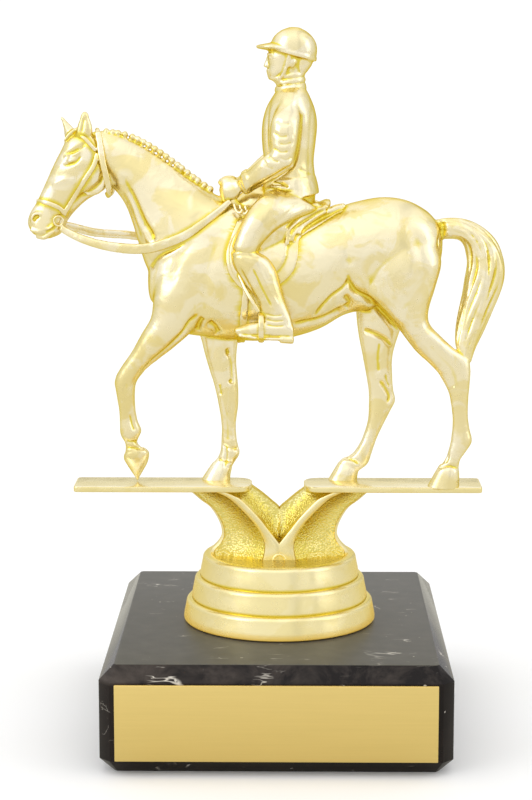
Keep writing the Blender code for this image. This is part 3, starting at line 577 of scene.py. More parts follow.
HORSE_STROKES = [
    # Mouth, eye and cheek
    (0.35, 0.35, 0, (-55.6, 119), (-54, 119.2), (-52.4, 120.4)),
    (0.5, 1, 0, (-50.4, 136.6), (-49, 137.4), (-47.2, 138.3), (-45.4, 139.6)),
    (0.35, 0.4, 0, (-50.8, 134.6), (-49.2, 134.7), (-47.6, 135.4), (-46.4, 136.8)),
    (0.7, -0.25, 0, (-53.4, 130), (-50.4, 131.2), (-47.6, 131)),
    (0.35, 0.4, 0, (-57.9, 121.4), (-57.4, 122.4), (-56.6, 122.4)),
    (0.85, 0.85, 0, (-49.4, 124.6), (-46.4, 127), (-43.4, 128.9), (-41.5, 130.8), (-41, 133)),
    (0.4, 0.35, -1, (-46.2, 142.2), (-45.9, 144), (-45.6, 145.6)),
    # Windpipe and the groove behind it
    (0.7, 0.95, 0, (-36.4, 132), (-34.6, 128), (-33, 124), (-31.8, 121.2), (-30.2, 118.6), (-29.6, 116.6)),
    (0.6, 0.35, 0, (-37.2, 128.2), (-35.2, 125), (-33.6, 120.5), (-32.4, 117)),
    (0.9, -0.35, 0, (-38, 134), (-35.4, 129.5), (-33.6, 124), (-32.4, 119.5)),
    # Breast
    (0.6, 0.5, 0, (-30.2, 110.2), (-29.2, 112.2), (-27.2, 113.8), (-24.6, 115), (-21.8, 116.8)),
    # Shoulder and forearm
    (1.6, 0.3, 0, (-17.5, 124), (-20.5, 118), (-24, 111), (-27, 105)),
    (1.6, 0.3, 0, (-14, 118), (-16.5, 111), (-17.5, 104), (-17.6, 98.5)),
    (0.5, 0.7, -1, (-32.8, 85), (-30, 87.8), (-26.4, 91), (-23, 94.4), (-21, 97.4), (-19, 99.2)),
    (0.6, 0.7, -1, (-19.2, 95.2), (-18.8, 97), (-17.9, 98.6)),
    (0.8, 0.8, -1, (-16.6, 97.4), (-15.2, 96.2), (-14.2, 94.4)),
    (0.5, 0.5, -1, (-14.6, 93), (-12.8, 92.2), (-11, 92.2)),
    (0.5, 0.35, 1, (-12, 90), (-11.2, 87), (-11, 82)),
    (0.5, 0.35, 0, (-14.2, 82), (-13.8, 79)),
    # Girth line and flank
    (0.65, 0.9, -1, (3.4, 96.8), (8.6, 97.6), (12.4, 98.9), (15.8, 101)),
    (0.5, 0.6, 0, (8.6, 98.6), (10.6, 101.2), (12.8, 103.6), (15.4, 105.6), (16.8, 107.4)),
    (
        0.75, 1, 0, (16.6, 109), (17.2, 106.6), (18.6, 104.6), (21.6, 102.8), (24.4, 100), (27, 97.4),
        (30, 94),
    ),
    (0.6, 0.6, 0, (15.8, 104), (17, 102.2), (16, 100.8)),
    (1.3, -0.45, 0, (19, 107.5), (23, 104.5), (26.5, 101), (30, 97)),
    # Quarters
    (1.6, 0.28, 0, (31, 121), (33.6, 115), (34, 109), (31.5, 103), (29.5, 100)),
    (1.6, 0.25, 0, (14.4, 121.5), (16.4, 116), (17, 110.5)),
    (0.7, 0.8, 0, (38.2, 122.2), (39, 120), (38.6, 117), (38.4, 115)),
    (1.3, 0.3, -1, (35, 93), (38.6, 89.4), (41.8, 85.6), (43.2, 80)),
    (0.5, 0.35, 0, (24.4, 92.6), (24, 88.4), (24.3, 84.8)),
    (0.5, 0.6, 0, (24.4, 82.8), (25.9, 80.9), (27, 78.9), (26.5, 77)),
    (0.4, 0.4, 0, (26, 84.4), (26.4, 82.4), (27.2, 81)),
    (0.6, 0.6, 1, (20.2, 95.2), (23, 94.4), (25.6, 93), (27.6, 91)),
    (0.5, 0.7, 0, (-12.2, 90.6), (-12, 89)),
    (0.45, 0.6, 0, (-11.5, 83), (-11.3, 82)),
    (0.7, 0.25, 0, (-12.4, 76), (-12.3, 71), (-12.2, 67.6)),
    (0.8, 0.25, 0, (-36, 84), (-36.6, 80), (-36.2, 76), (-35.9, 72.5)),
    (0.4, 0.45, 0, (-35.4, 75), (-35, 72.6), (-34.4, 71)),
    # Coronets and fetlocks
    (0.35, 0.35, 0, (37.9, 61.9), (39.4, 62.4), (41.4, 62.7), (43.6, 62)),
    (0.4, 0.3, 0, (40.4, 66.4), (40.8, 64.8), (40.2, 63.2)),
    (0.4, 0.45, 0, (14.3, 63.5), (16.2, 63.6), (18, 63), (19.8, 61.8)),
    (0.4, 0.4, 0, (16.4, 65.2), (18.4, 64.6)),
    (0.35, 0.35, 0, (-15.8, 63.4), (-14, 63), (-11.2, 61.9)),
    (0.45, 0.4, 0, (-12.6, 66.2), (-12.4, 64), (-12.8, 61.2)),
    (0.4, 0.35, 0, (-13.4, 66.6), (-11.4, 66), (-9.2, 65.6)),
    (0.35, 0.35, 0, (-36.8, 67), (-34.6, 66.9), (-32, 66.8)),
    (0.4, 0.35, 0, (-36.6, 68.6), (-35, 68.4), (-33.4, 68.4)),
]


def horse():
    body = fuse(gather("horse", horse_trunk() + horse_head() + horse_legs()), voxel=0.36, soften=9)
    details = horse_tail() + horse_ears() + horse_features() + horse_mane() + horse_hooves()
    body = fuse(gather("horse", [body] + details), voxel=0.26, soften=2)
    carve(body, HORSE_STROKES)
    lighten(body, most=196000)
    return body


# The rider

def rider():
    things = form([
        (-2.6, 65, 8.6, 65, 0, 6.4), (-3, 68, 8.8, 68.6, 0, 6.4), (-3.2, 72, 8.8, 73, 0, 6),
        (-3.2, 76, 8.4, 77, 0, 5.4), (-3.8, 81, 8.8, 81, 0, 5.8), (-3.8, 85.5, 9.2, 85.5, 0, 6.3),
        (-2.9, 89.3, 8.7, 89, 0, 6.3), (-1.3, 92.2, 7.4, 92.3, 0, 5.5), (0, 94, 6.2, 94.4, 0, 3.5),
    ], caps=(0.5, 0.4), around=40)
    things += form([
        (1, 93, 5.2, 92.6, 3.4, 1.9), (0.5, 91.5, 5.1, 91.1, 4.4, 2.1), (0.2, 90, 4.9, 89.6, 5.1, 2.2),
        (-1.2, 87.6, 5.3, 87.2, 7, 2.7), (-1.9, 84.8, 5.2, 84.8, 7.9, 2.9),
        (-1.9, 81, 4.8, 81.6, 8.4, 2.7), (-1.6, 78.2, 4.2, 78.8, 8.7, 2.5),
        (-0.8, 76, 3.8, 76.2, 8.7, 2.2),
    ], caps=(1.6, 1), both=True)
    things += form([
        (-1.6, 79.4, 3.8, 75.6, 8.8, 2.4), (-4.6, 77.2, -0.2, 73.2, 8, 2.3),
        (-7.4, 74.6, -4.2, 70.9, 6.4, 2), (-9.6, 73, -7.8, 69, 4.8, 1.8),
    ], caps=(0.6, 0.2), both=True)
    # Hands with the fingers closed on the reins
    things += form([
        (-9.2, 72.4, -9.2, 68.4, 4.4, 1.4), (-11, 73, -10.8, 67.8, 3.8, 1.5),
        (-13.1, 72.4, -12.8, 68.2, 3.2, 1.3),
    ], caps=(0.3, 0.6), both=True)
    for x, h in [(-13.4, 71.6), (-13.7, 70.3), (-13.5, 69), (-13, 67.8)]:
        root = (-11.6, h + 0.9, -11.4, h - 0.6, 3.6, 0.9)
        knuckle = (x + 1, h + 0.8, x + 1.1, h - 0.7, 3.4, 1.1)
        tip = (x, h + 0.6, x + 0.1, h - 0.6, 2.8, 0.8)
        things += form([root, knuckle, tip], caps=(0.3, 0.5), around=14, both=True)
    things += form([
        (-10.6, 73.4, -10.6, 71.8, 3.4, 0.8), (-12.8, 73.3, -12.6, 71.9, 3, 0.8),
        (-14.2, 72.5, -14, 71.5, 2.5, 0.6),
    ], caps=(0.4, 0.4), around=14, both=True)
    things += form([
        (2, 70.5, 10, 65.5, 3.6, 3.6), (-2.4, 70, 4.8, 63.6, 7.6, 3.6), (-6.4, 66.4, 0.2, 61.2, 9.8, 3.3),
        (-9, 62, -3.2, 58, 10.8, 3), (-11, 57.2, -4.8, 55.6, 11.3, 2.8),
    ], caps=(0.5, 1.4), both=True)
    body = fuse(gather("rider", things), voxel=0.3, soften=14)
    # Neck, head and collar
    things = form([
        (-0.4, 92.5, 6.4, 93, 0, 3), (0.2, 96, 6.2, 97, 0, 2.75), (0.2, 98.5, 6.4, 99.5, 0, 2.8),
    ], around=24)
    for cap, *fold in (
        (0.3, (-0.9, 93.4, 6.7, 94, 0, 3.4), (-0.7, 94.3, 6.5, 95.1, 0, 3.3)),
        (0.25, (-0.6, 94.9, 6.5, 95.8, 0, 3.15), (-0.5, 95.5, 6.4, 96.4, 0, 3.1)),
        (0.25, (-0.4, 96.2, 6.4, 97.2, 0, 3), (-0.3, 96.7, 6.3, 97.8, 0, 2.95)),
    ):
        things += form(fold, caps=(cap, cap), around=28)
    things += form([
        (-2.2, 96, 3, 97.6, 0, 1.5), (-2.5, 97.2, 6, 99.2, 0, 2.7), (-2.3, 99.2, 7.4, 100.6, 0, 3.2),
        (-2.5, 101.2, 7.8, 102, 0, 3.5), (-2.1, 103.2, 7.8, 104, 0, 3.5),
    ], caps=(0.5, 0.4), around=32)
    # Nose, lips, chin and ears
    things += form([
        (-3.5, 99.2, -1.6, 99.1, 0, 0.75), (-3, 100.4, -1.6, 100.3, 0, 0.55),
        (-2.5, 101.8, -1.6, 101.8, 0, 0.4),
    ], caps=(0.35, 0.3), around=12)
    things += form([
        (-2.85, 98.3, -1.2, 98.3, 0, 1.15), (-2.8, 97.95, -1.2, 97.95, 0, 1.1),
    ], caps=(0.2, 0.15), around=12)
    things += form([
        (-2.7, 97.6, -1.2, 97.6, 0, 1.05), (-2.6, 97.2, -1.2, 97.2, 0, 1),
    ], caps=(0.15, 0.2), around=12)
    things += form([
        (-2.5, 96.9, -0.4, 95.3, 0, 1.25), (-0.2, 97.6, 0.8, 95.3, 0, 2.2),
        (2.4, 99.6, 3.6, 96.9, 0, 2.9),
    ], caps=(0.4, 0.6), around=20)
    things += ball(-2, 101.9, 1.3, (0.7, 0.35, 1), both=True)
    things += ball(-1.85, 101.1, 1.35, (0.5, 0.35, 0.6), both=True)
    things += ball(3.2, 100, 3.1, (0.9, 1.3, 0.5), both=True, turn=-8)
    # Hair at the nape
    things += form([
        (4.2, 97.4, 6.9, 98, 0, 2.2), (3.8, 99, 7.9, 99.4, 0, 2.9), (3.6, 100.6, 8.2, 100.8, 0, 3.2),
    ], caps=(0.6, 0.5), around=24)
    # Helmet with its shell, rim, peak, button and chin strap
    things += form([
        (-1.8, 103, 8.7, 100.2, 0, 4.3), (-1.75, 104.2, 9.1, 102.4, 0, 4.5),
        (-1.3, 105.5, 8.9, 104.3, 0, 4.35), (-0.4, 106.6, 8, 105.9, 0, 3.9),
        (0.9, 107.5, 6.7, 107.1, 0, 3.1), (2.3, 108, 5.4, 107.8, 0, 1.9),
    ], caps=(0.2, 0.25), around=40)
    things += form([
        (-2, 103.2, 8.9, 100.2, 0, 4.55), (-1.95, 103.8, 9.1, 101, 0, 4.6),
    ], caps=(0.2, 0.2), around=40)
    things += form([
        (-4.9, 104, -4.8, 103.2, 0, 1.3), (-3.4, 104.3, -3.3, 102.9, 0, 3),
        (-1.2, 104.6, -1, 102.5, 0, 3.9), (2, 104.2, 2, 101.9, 0, 4.4),
    ], caps=(0.3, 0.3), steps=6)
    things += ball(3.4, 107.75, 0, (0.7, 0.35, 0.7))
    things += cord([
        (2.6, 101.8, 3.7, 0.35, 0.25), (2.2, 99.8, 3.4, 0.35, 0.25), (1.4, 97.6, 2.9, 0.35, 0.25),
        (0, 95.9, 1.7, 0.35, 0.25), (-0.6, 95.2, 0.4, 0.35, 0.25),
    ], both=True)
    # Cuffs, skirt of the jacket, boots, heels and soles
    things += form([
        (-7.9, 74.6, -5.8, 70, 5.9, 2.15), (-9, 73.9, -7.2, 69.2, 5.2, 2.05),
    ], caps=(0.2, 0.2), both=True)
    things += form([
        (-4.8, 67.4, 9.7, 69.6, 0, 7.4), (-4, 69.6, 9.5, 71.2, 0, 6.8), (-3.4, 72.6, 8.9, 73.6, 0, 6.1),
    ], caps=(0.15, 0.4), around=40)
    things += form([
        (-11.1, 54.8, -4.5, 55.5, 11.3, 2.7), (-10.5, 52, -2.2, 54, 11.4, 2.85),
        (-8.5, 49, -0.3, 51, 11.5, 2.6), (-6.4, 45.6, 0.8, 47, 11.6, 2.3), (-4.9, 42, 2, 43, 11.7, 1.95),
        (-4.4, 39, 3.2, 39.8, 11.8, 1.8), (-4.4, 36.6, 3.8, 36.8, 11.8, 1.7),
    ], caps=(1.6, 0.8), both=True)
    things += form([
        (3.4, 38.4, 3.5, 35, 11.8, 1.5), (0.5, 40, 0.5, 34.9, 11.8, 1.8),
        (-3.5, 39.6, -3.2, 35.2, 11.8, 1.9), (-7, 38.6, -6.8, 35.5, 11.8, 1.9),
        (-9.8, 37.6, -9.6, 36, 11.8, 1.4),
    ], caps=(0.4, 0.7), both=True)
    things += form([
        (3.5, 35.6, 3.5, 33.7, 11.8, 1.7, 0, 0.4), (0.6, 35.8, 0.6, 33.9, 11.8, 1.8, 0, 0.4),
    ], caps=(0.3, 0.2), both=True)
    things += form([
        (1.2, 35.4, 1.2, 34.5, 11.8, 1.9, 0, 0.4), (-4, 35.6, -4, 34.7, 11.8, 2.1, 0, 0.4),
        (-8.6, 36.1, -8.6, 35.3, 11.8, 1.8, 0, 0.4),
    ], caps=(0.3, 1.2), both=True)
    body = fuse(gather("rider", [body] + things), voxel=0.24, soften=2)
    carve(body, RIDER_STROKES)
    lighten(body, most=150000)
    return body


RIDER_STROKES = [
    # Jacket: front edge, lapel, back seams, folds at the elbow and waist
    (0.35, 0.3, 0, (-1.6, 150.2), (-2.4, 147), (-2.6, 142), (-2.2, 137.4)),
    (0.45, 0.5, 0, (5.8, 147), (5.4, 143), (4.9, 139), (4, 135.4), (2.6, 133.6)),
    (0.4, 0.15, 0, (8, 148), (7.6, 143), (7.2, 137), (7.4, 131.6)),
    (0.5, 0.5, 0, (3, 134.4), (0.2, 132.6), (-3.4, 130.4), (-6.6, 128.6)),
    (0.5, 0.25, 0, (-2.6, 137), (-1.4, 136), (0.4, 135.4)),
    (0.5, 0.22, 0, (-3.6, 136), (-2.6, 134.4), (-0.8, 133.8)),
    (0.5, 0.2, 0, (-0.6, 145.4), (1.2, 144.4), (3, 144.4)),
    (0.5, 0.24, 0, (-1.2, 142.4), (0.6, 141.4), (2.4, 141.6)),
    (0.45, 0.2, 0, (0.2, 139.9), (1.6, 139.6), (3.4, 140.2)),
    (0.5, 0.26, 0, (-1.4, 138.9), (0.6, 137.8), (2.6, 138)),
    (0.45, 0.2, 0, (0.2, 136.6), (1.8, 136), (3.4, 136.6)),
    (0.6, 0.15, 0, (4.8, 134), (6.4, 133), (8.2, 132.8)),
    (0.5, 0.5, 0, (-1.6, 130.8), (0.5, 130.5), (2.6, 129.5)),
    (0.4, 0.3, 0, (-4.4, 128.4), (-2, 129.4), (0.8, 129), (4, 128.8)),
    # Breeches and boots
    (0.6, 0.2, 0, (5.6, 126.4), (2, 123), (-1.8, 120), (-4.6, 116.4)),
    (0.35, 0.14, 0, (-11.6, 113.2), (-8, 113.4), (-4.4, 113)),
    (0.45, 0.28, 0, (-9.4, 110.8), (-6.6, 105.4), (-4.2, 101)),
    (0.45, -0.14, 0, (-7.8, 110.8), (-5.2, 105.4), (-2.8, 101)),
    (0.45, 0.28, 0, (-6.2, 110.8), (-3.8, 105.6), (-1.4, 101)),
    (0.45, -0.14, 0, (-4.6, 110.4), (-2.4, 105.8), (0, 101)),
    (0.3, 0.26, 0, (-3.2, 99.5), (-1, 99), (1.2, 99.2)),
    (0.3, 0.26, 0, (-3, 98.2), (-0.8, 97.7), (1.6, 97.9)),
    (0.3, 0.22, 0, (-2.8, 96.9), (-0.8, 96.5), (1.6, 96.6)),
]


# Saddle, pad and girth

def skin_finder(thing):
    """Gives a function that finds how far out the skin lies where a place of the drawing is seen."""
    tree = BVHTree.FromObject(thing, bpy.context.evaluated_depsgraph_get())
    first_guess = 9.0
    outside = 0.03

    def find(x, height, side):
        y = first_guess
        for _ in range(10):
            spot = place(x, height, side * y, seen=-y)
            start = Vector((spot.x, MIDDLE_LINE + side * outside, spot.z))
            hit = tree.ray_cast(start, Vector((0, -side, 0)))[0]
            y = y * 0.7 if hit is None else (y + abs(hit.y - MIDDLE_LINE) / SQUARE) / 2
        return y

    return find


def sheet(outline, find, proud, sink):
    """A sheet laid over each side of the horse, with a rounded edge that stands proud and sinks in."""
    levels = [(0.25, -sink), (0.6, -sink), (0.92, -sink), (1, -sink * 0.5), (1, proud * 0.5)]
    levels += [(0.985, proud * 0.85)]
    levels += [(share, proud) for share in (0.955, 0.9, 0.8, 0.65, 0.5, 0.35, 0.18)]
    rows = eased([list(p) for p in outline + [outline[0]]], 6)[:-1]
    mx = sum(r[0] for r in rows) / len(rows)
    mh = sum(r[1] for r in rows) / len(rows)
    made = []
    for side in (-1, 1):
        rings = []
        for share, lift in levels:
            ring = []
            for x, height in rows:
                px = mx + (x - mx) * share
                ph = mh + (height - mh) * share
                y = find(px, ph, side)
                ring.append(place(px, ph, side * (y + lift), seen=-y))
            rings.append(ring)
        y = find(mx, mh, side)
        start, end = (place(mx, mh, side * (y + lift), seen=-y) for lift in (-sink, proud))
        made.append(skin_ball(rings, start, end))
    return made


SADDLE_STROKES = [
    (0.4, 0.45, 0, (11.8, 125.9), (9.4, 125), (6.6, 123.7), (3.8, 121.8), (1.8, 119.9)),
    (0.4, 0.5, 0, (11.6, 124.5), (8.6, 122.9), (5.9, 121.3), (3.9, 119.8), (2.9, 118.2)),
    (0.35, 0.3, 0, (13, 123.6), (9.2, 121.6), (6.6, 119.9), (5.4, 118.2)),
]


def saddle(find):
    things = form([
        (-9.6, 68.8, -9, 63, 0, 2.4), (-6.5, 71, -6, 62, 0, 3.4), (-3, 71, -2, 61, 0, 4.4),
        (2, 68, 2, 61, 0, 5.2), (6, 67.4, 6, 61.5, 0, 5.6), (9.4, 67.5, 10, 63, 0, 5.2),
        (11, 68.1, 11.6, 65.2, 0, 4.3), (12, 68.1, 12.2, 66.4, 0, 3.4),
    ], caps=(0.6, 0.4), around=36)
    # Panel and the pad's border, running down from behind the seat
    for border in (
        [
            (11.6, 125, 4), (10.2, 124.5, 4.7), (8, 123.3, 5.5), (5.9, 122, 6.2), (4, 120.6, 7.4),
            (2.9, 119.4, 8.1), (2.3, 117.8, 8.2), (2.1, 116, 8.4),
        ],
        [
            (11.2, 124, 4.4), (9, 122.9, 5.2), (6.8, 121.6, 6), (4.9, 120.2, 6.9), (3.7, 118.6, 7.6),
            (3.2, 116.8, 8),
        ],
        [
            (15.8, 125, 1.9), (14, 124.6, 2.5), (12.3, 123.9, 3.1), (9.4, 122.5, 4.5), (7.2, 121.1, 5.7),
            (5.6, 119.8, 6.7), (5, 118.4, 7.5),
        ],
    ):
        things += cord([(x, h, y, 0.6, 0.6) for x, h, y in up(border)], both=True)
    # Skirt under the thigh
    things += form([
        (-6, 62.5, -3.4, 55, 8.2, 1.5), (-1, 64.5, 2.2, 58.9, 7.4, 1.5), (4, 66.5, 5.6, 62.9, 5.9, 1.4),
        (9, 67.3, 10.4, 65.4, 4.2, 1.1),
    ], caps=(1, 0.6), both=True)
    pad = up([
        (-9.8, 121.5), (-11.2, 118), (-12.4, 114), (-12, 110), (-10.6, 107.4), (-8.4, 105.4), (-4, 104.8),
        (0.6, 106.6), (3.6, 109.6), (4.7, 113), (4.9, 116.4), (5.2, 117.4), (6.4, 118.5), (9, 120.1),
        (11.1, 121.5), (13.2, 122.8), (15.6, 124.2), (12, 124.2), (4, 123.6), (-4, 123.6),
    ])
    flap = up([
        (-8.8, 120.4), (-10.8, 117.4), (-11.6, 114.2), (-11.2, 110.4), (-9.6, 107.8), (-6.6, 106.6),
        (-3, 107.8), (0.2, 110.2), (1.7, 113), (2.1, 116), (2, 118.8), (2.9, 120.2), (4.6, 122),
        (-1, 123.4), (-6, 122.6),
    ])
    things += sheet(pad, find, proud=0.5, sink=0.9)
    things += sheet(flap, find, proud=1, sink=0.6)
    # Girth
    things += cord([
        (-7.4, 48.6, 9.4, 0.9, 0.35), (-7.8, 44, 9.35, 0.95, 0.35), (-8.2, 39.8, 8, 1, 0.35),
        (-8.6, 36.6, 5.4, 1, 0.4), (-8.8, 34.8, 2, 1.1, 0.5), (-8.8, 34.5, -0.4, 1.1, 0.5),
    ], both=True)
    body = fuse(gather("saddle", things), voxel=0.24, soften=2)
    carve(body, SADDLE_STROKES)
    lighten(body, most=120000)
    return body


def tack(find):
    """Bridle, reins, bit rings, stirrup leathers and irons."""

    def band(points, half, lift=0.1):
        """A strap laid on the horse's skin."""
        return cord([(x, h, find(x, h, -1) + lift, half, 0.35) for x, h in up(points)], both=True)

    things = band([(-57, 126.2), (-55, 125.9), (-53, 125.2), (-51.5, 124.4), (-50.8, 123.4)], half=0.6)
    things += band([
        (-50.8, 122.8), (-49.9, 124.3), (-47.8, 127.7), (-45.6, 131.2), (-43.4, 134.6), (-42.6, 137.4),
    ], half=0.62, lift=0.2)
    things += band([(-47.6, 141.8), (-45.9, 141.2), (-44.3, 139.6), (-42.9, 138)], half=0.5)
    throat = up([
        (-42.4, 142.4, 2.4), (-42, 140, 3.1), (-41.5, 136.4, 3.9), (-40.8, 133, 4.2), (-40.1, 130, 3.9),
        (-39.8, 128.4, 3),
    ])
    throat += [(-40.1, 69.2, 1.7), (-40.4, 69, 0)]
    things += cord([(*p, 0.8, 0.4) for p in throat], both=True)
    things += cord([
        (-42.4, 83.2, 2.5, 0.6, 0.35), (-42.5, 84.1, 1.2, 0.6, 0.35), (-42.5, 84.3, 0, 0.6, 0.35),
        (-42.5, 84.1, -1.2, 0.6, 0.35), (-42.4, 83.2, -2.5, 0.6, 0.35),
    ])
    # Bit rings
    for side in (-1, 1):
        ring = []
        radius = 1.15
        for k in range(13):
            turn = 2 * math.pi * k / 12
            x = -52.0 + radius * math.cos(turn)
            ring.append((x, 62.9 + radius * math.sin(turn), side * 2.75, 0.28, 0.28))
        things += cord(ring, around=8, steps=3)
    # Reins
    near = up([
        (-51.4, 119.9, -2.6, 0.8), (-49.5, 118.7, -3, 0.9), (-46, 117.1, -4, 1), (-42, 115.9, -5, 1.1),
        (-38, 115.2, -5.8, 1.2), (-34, 114.9, -6.4, 1.25), (-30, 115.2, -6.9, 1.25),
        (-26, 116.4, -7.1, 1.2), (-22, 118.1, -7, 1.1), (-18, 120.8, -6.4, 1), (-14, 123.8, -5.2, 0.9),
        (-11.2, 126.2, -4, 0.8),
    ])
    things += cord([(*p, 0.5) for p in near])
    far = up([
        (-51.4, 120.6, 2.6), (-48.4, 120, 3.2), (-44, 118.9, 4.4), (-40, 118.5, 5.2), (-36, 118.3, 5.9),
        (-33, 117.9, 6.4), (-29, 117.6, 6.9), (-25, 118.6, 7), (-21, 120.4, 6.4), (-17, 123.4, 5.4),
        (-13, 127, 4),
    ])
    things += cord([(*p, 1.05, 0.45) for p in far])
    # Loops in front of the saddle
    first = [(-10.4, 67, 0.2, -5.6), (-9.9, 65.4, 0.3, -6.4), (-9, 64.8, 0.2, -6.8), (-8.4, 65.8, 0.2, -6.8)]
    for k in range(3):
        things += cord([(x + 1.3 * k, h - fall * k, y, 0.35, 0.4) for x, h, fall, y in first])
    # Leathers and irons
    things += cord([
        (-9.4, 50.6, 9.6, 0.5, 0.35), (-7.7, 46.6, 11.9, 0.5, 0.35), (-6.1, 43.8, 13, 0.5, 0.35),
        (-4.6, 41.2, 13.3, 0.55, 0.35),
    ], both=True)
    # Each iron is a ring around the foot, flat in its section
    foot_y = 11.8
    fore = Vector((1, 0, 0))
    turns = [2 * math.pi * k / 10 for k in range(10)]
    for side in (-1, 1):
        iron = []
        for k in range(17):
            turn = 2 * math.pi * k / 16
            iron.append((-4, 37.7 + 3.4 * math.cos(turn), side * (foot_y + 2.5 * math.sin(turn))))
        spots = [place(*r, seen=-foot_y) for r in eased(iron, 3)]
        last = len(spots) - 1
        rings = []
        for i, spot in enumerate(spots):
            before, after = (spots[i - 1], spots[i + 1]) if 0 < i < last else (spots[-2], spots[1])
            out = (after - before).normalized().cross(fore).normalized()
            steps = [fore * math.cos(turn) * 0.75 + out * math.sin(turn) * 0.4 for turn in turns]
            rings.append([spot + step * SQUARE for step in steps])
        things.append(skin_ball(rings, spots[0], spots[-1]))
    body = fuse(gather("tack", things), voxel=0.2, soften=2)
    lighten(body, most=120000)
    return body


# Riser, plates and foot

def riser_arm(side):
    """One arm of the fork. It has a smooth rib in front and behind, and stippled panels beside the ribs."""
    spread = 22.2
    tall = 17.1
    ridge = 5.6
    edge = 1.5
    # How far the rib stands out of the panels beside it
    rib_step = 0.4
    # From the plate down, as shares of the spread, the height and the ridge. Each row has x and height
    # of the outer edge, x of the rib's two sides, their height and y, and x, height and y of the notch.
    rows = [
        (1.00, 0.93, 0.72, 0.60, 0.94, 1.00, 0.32, 0.97, 0.34),
        (0.86, 0.77, 0.55, 0.43, 0.83, 0.96, 0.20, 0.86, 0.34),
        (0.75, 0.66, 0.42, 0.31, 0.68, 0.93, 0.09, 0.74, 0.34),
        (0.67, 0.50, 0.31, 0.20, 0.52, 0.90, -0.005, 0.62, 0.36),
        (0.63, 0.36, 0.23, 0.12, 0.38, 0.88, -0.005, 0.47, 0.52),
        (0.63, 0.24, 0.18, 0.04, 0.25, 0.88, -0.01, 0.30, 0.78),
        (0.67, 0.14, 0.16, -0.02, 0.14, 0.90, -0.03, 0.14, 0.92),
        (0.74, 0.04, 0.17, -0.02, 0.02, 0.94, -0.03, 0.02, 0.96),
        (0.75, -0.07, 0.19, -0.02, -0.07, 0.96, -0.03, -0.07, 0.96),
    ]
    clay = bmesh.new()
    loops = []
    panel = []
    for xo, ho, xa, xb, hr, yr, xn, hn, yn in eased([list(r) for r in rows], 6):
        outer = (xo * spread, ho * tall, edge)
        rib_out = (xa * spread, hr * tall, ridge * yr)
        rib_in = (xb * spread, hr * tall, ridge * yr)
        notch = (xn * spread, hn * tall, ridge * yn)
        # Points from the outer edge to the notch, each with 1 where it is in a panel
        section = [(outer, 0), (tuple(o * 0.94 + r * 0.06 for o, r in zip(outer, rib_out)), 0)]
        for t in (0.08, 0.2, 0.35, 0.5, 0.65, 0.8, 0.93):
            x, h = (o + (r - o) * t for o, r in zip(outer[:2], rib_out))
            y = outer[2] + (rib_out[2] - outer[2]) * t ** 1.9
            section.append(((x, h, y - 0.3 * math.sin(math.pi * min(1, t * 1.1)) - 0.35), 1))
        section.append(((*rib_out[:2], rib_out[2] - rib_step), 1))
        for t, lift in ((0.04, 0), (0.2, 0.22), (0.5, 0.32), (0.8, 0.22), (0.96, 0)):
            x, h, y = (o + (r - o) * t for o, r in zip(rib_out, rib_in))
            section.append(((x, h, y + lift), 0))
        section.append(((*rib_in[:2], rib_in[2] - rib_step), 0))
        for t in (0.08, 0.25, 0.45, 0.65, 0.85):
            x, h, y = (o + (r - o) * t for o, r in zip(rib_in, notch))
            section.append(((x, h, max(y - 1.1 * math.sin(math.pi * t) - 0.3, 0.3)), 1))
        section.append(((*notch[:2], max(notch[2] - 0.3, 0.4)), 1))
        loop = []
        for (x, h, y), _ in section + [((x, h, -y), k) for (x, h, y), k in reversed(section)]:
            level = PLATES_TOP + (min(h, tall - 0.7) - tall) * SQUARE
            loop.append(clay.verts.new((side * x * SQUARE + RISER_X, MIDDLE_LINE - y * SQUARE, level)))
        loops.append(loop)
        kinds = [k for _, k in section]
        panel = kinds + kinds[::-1]
    count = len(loops[0])
    for above, below in zip(loops, loops[1:]):
        for i in range(count):
            j = (i + 1) % count
            face = clay.faces.new((above[i], above[j], below[j], below[i]))
            face.material_index = 1 if panel[i] and panel[j] and i < j else 0
    clay.faces.new(loops[0])
    clay.faces.new(loops[-1][::-1])
    bmesh.ops.recalc_face_normals(clay, faces=clay.faces)
    name = "riser_arm_front" if side < 0 else "riser_arm_rear"
    mesh = bpy.data.meshes.new(name)
    mesh.materials.append(smooth)
    mesh.materials.append(stipple)
    clay.to_mesh(mesh)
    clay.free()
    # How sheltered each point of a section lies, which sets the painted shade in the plating's tone
    sunk = [0, 0.1, 0, 0, 0, 0.05, 0.12, 0.28, 0.4, 0.45, 0.2, 0, 0, 0, 0.2, 0.45]
    sunk += [0.45, 0.42, 0.4, 0.2, 0, 0]
    sunk += sunk[::-1]
    mesh.attributes.new("hollow", "FLOAT", "POINT").data.foreach_set("value", sunk * len(loops))
    made = bpy.data.objects.new(name, mesh)
    bpy.context.scene.collection.objects.link(made)
    pick(made)
    bpy.ops.object.shade_smooth_by_angle(angle=math.radians(38))
    return made


def stem_arch():
    """The small arch where the ribs meet the foot, in front and behind."""
    bend = []
    for k in range(0, 181, 20):
        turn = math.radians(k)
        bend.append((RISER_X / SQUARE + 1.5 * math.cos(turn), 1.9 * math.sin(turn) - 19.7, 5.2, 0.4, 0.6))
    made = gather("stem_arch", cord(bend, both=True))
    made.data.polygons.foreach_set("use_smooth", [True] * len(made.data.polygons))
    return made


def box(name, low, high):
    """A cube drawn out to two corners."""
    bpy.ops.object.select_all(action="DESELECT")
    bpy.ops.mesh.primitive_cube_add(size=1)
    made = bpy.context.object
    made.name = name
    made.data.name = name
    for vert in made.data.vertices:
        vert.co = Vector([l + (c + 0.5) * (h - l) for c, l, h in zip(vert.co, low, high)])
    return made


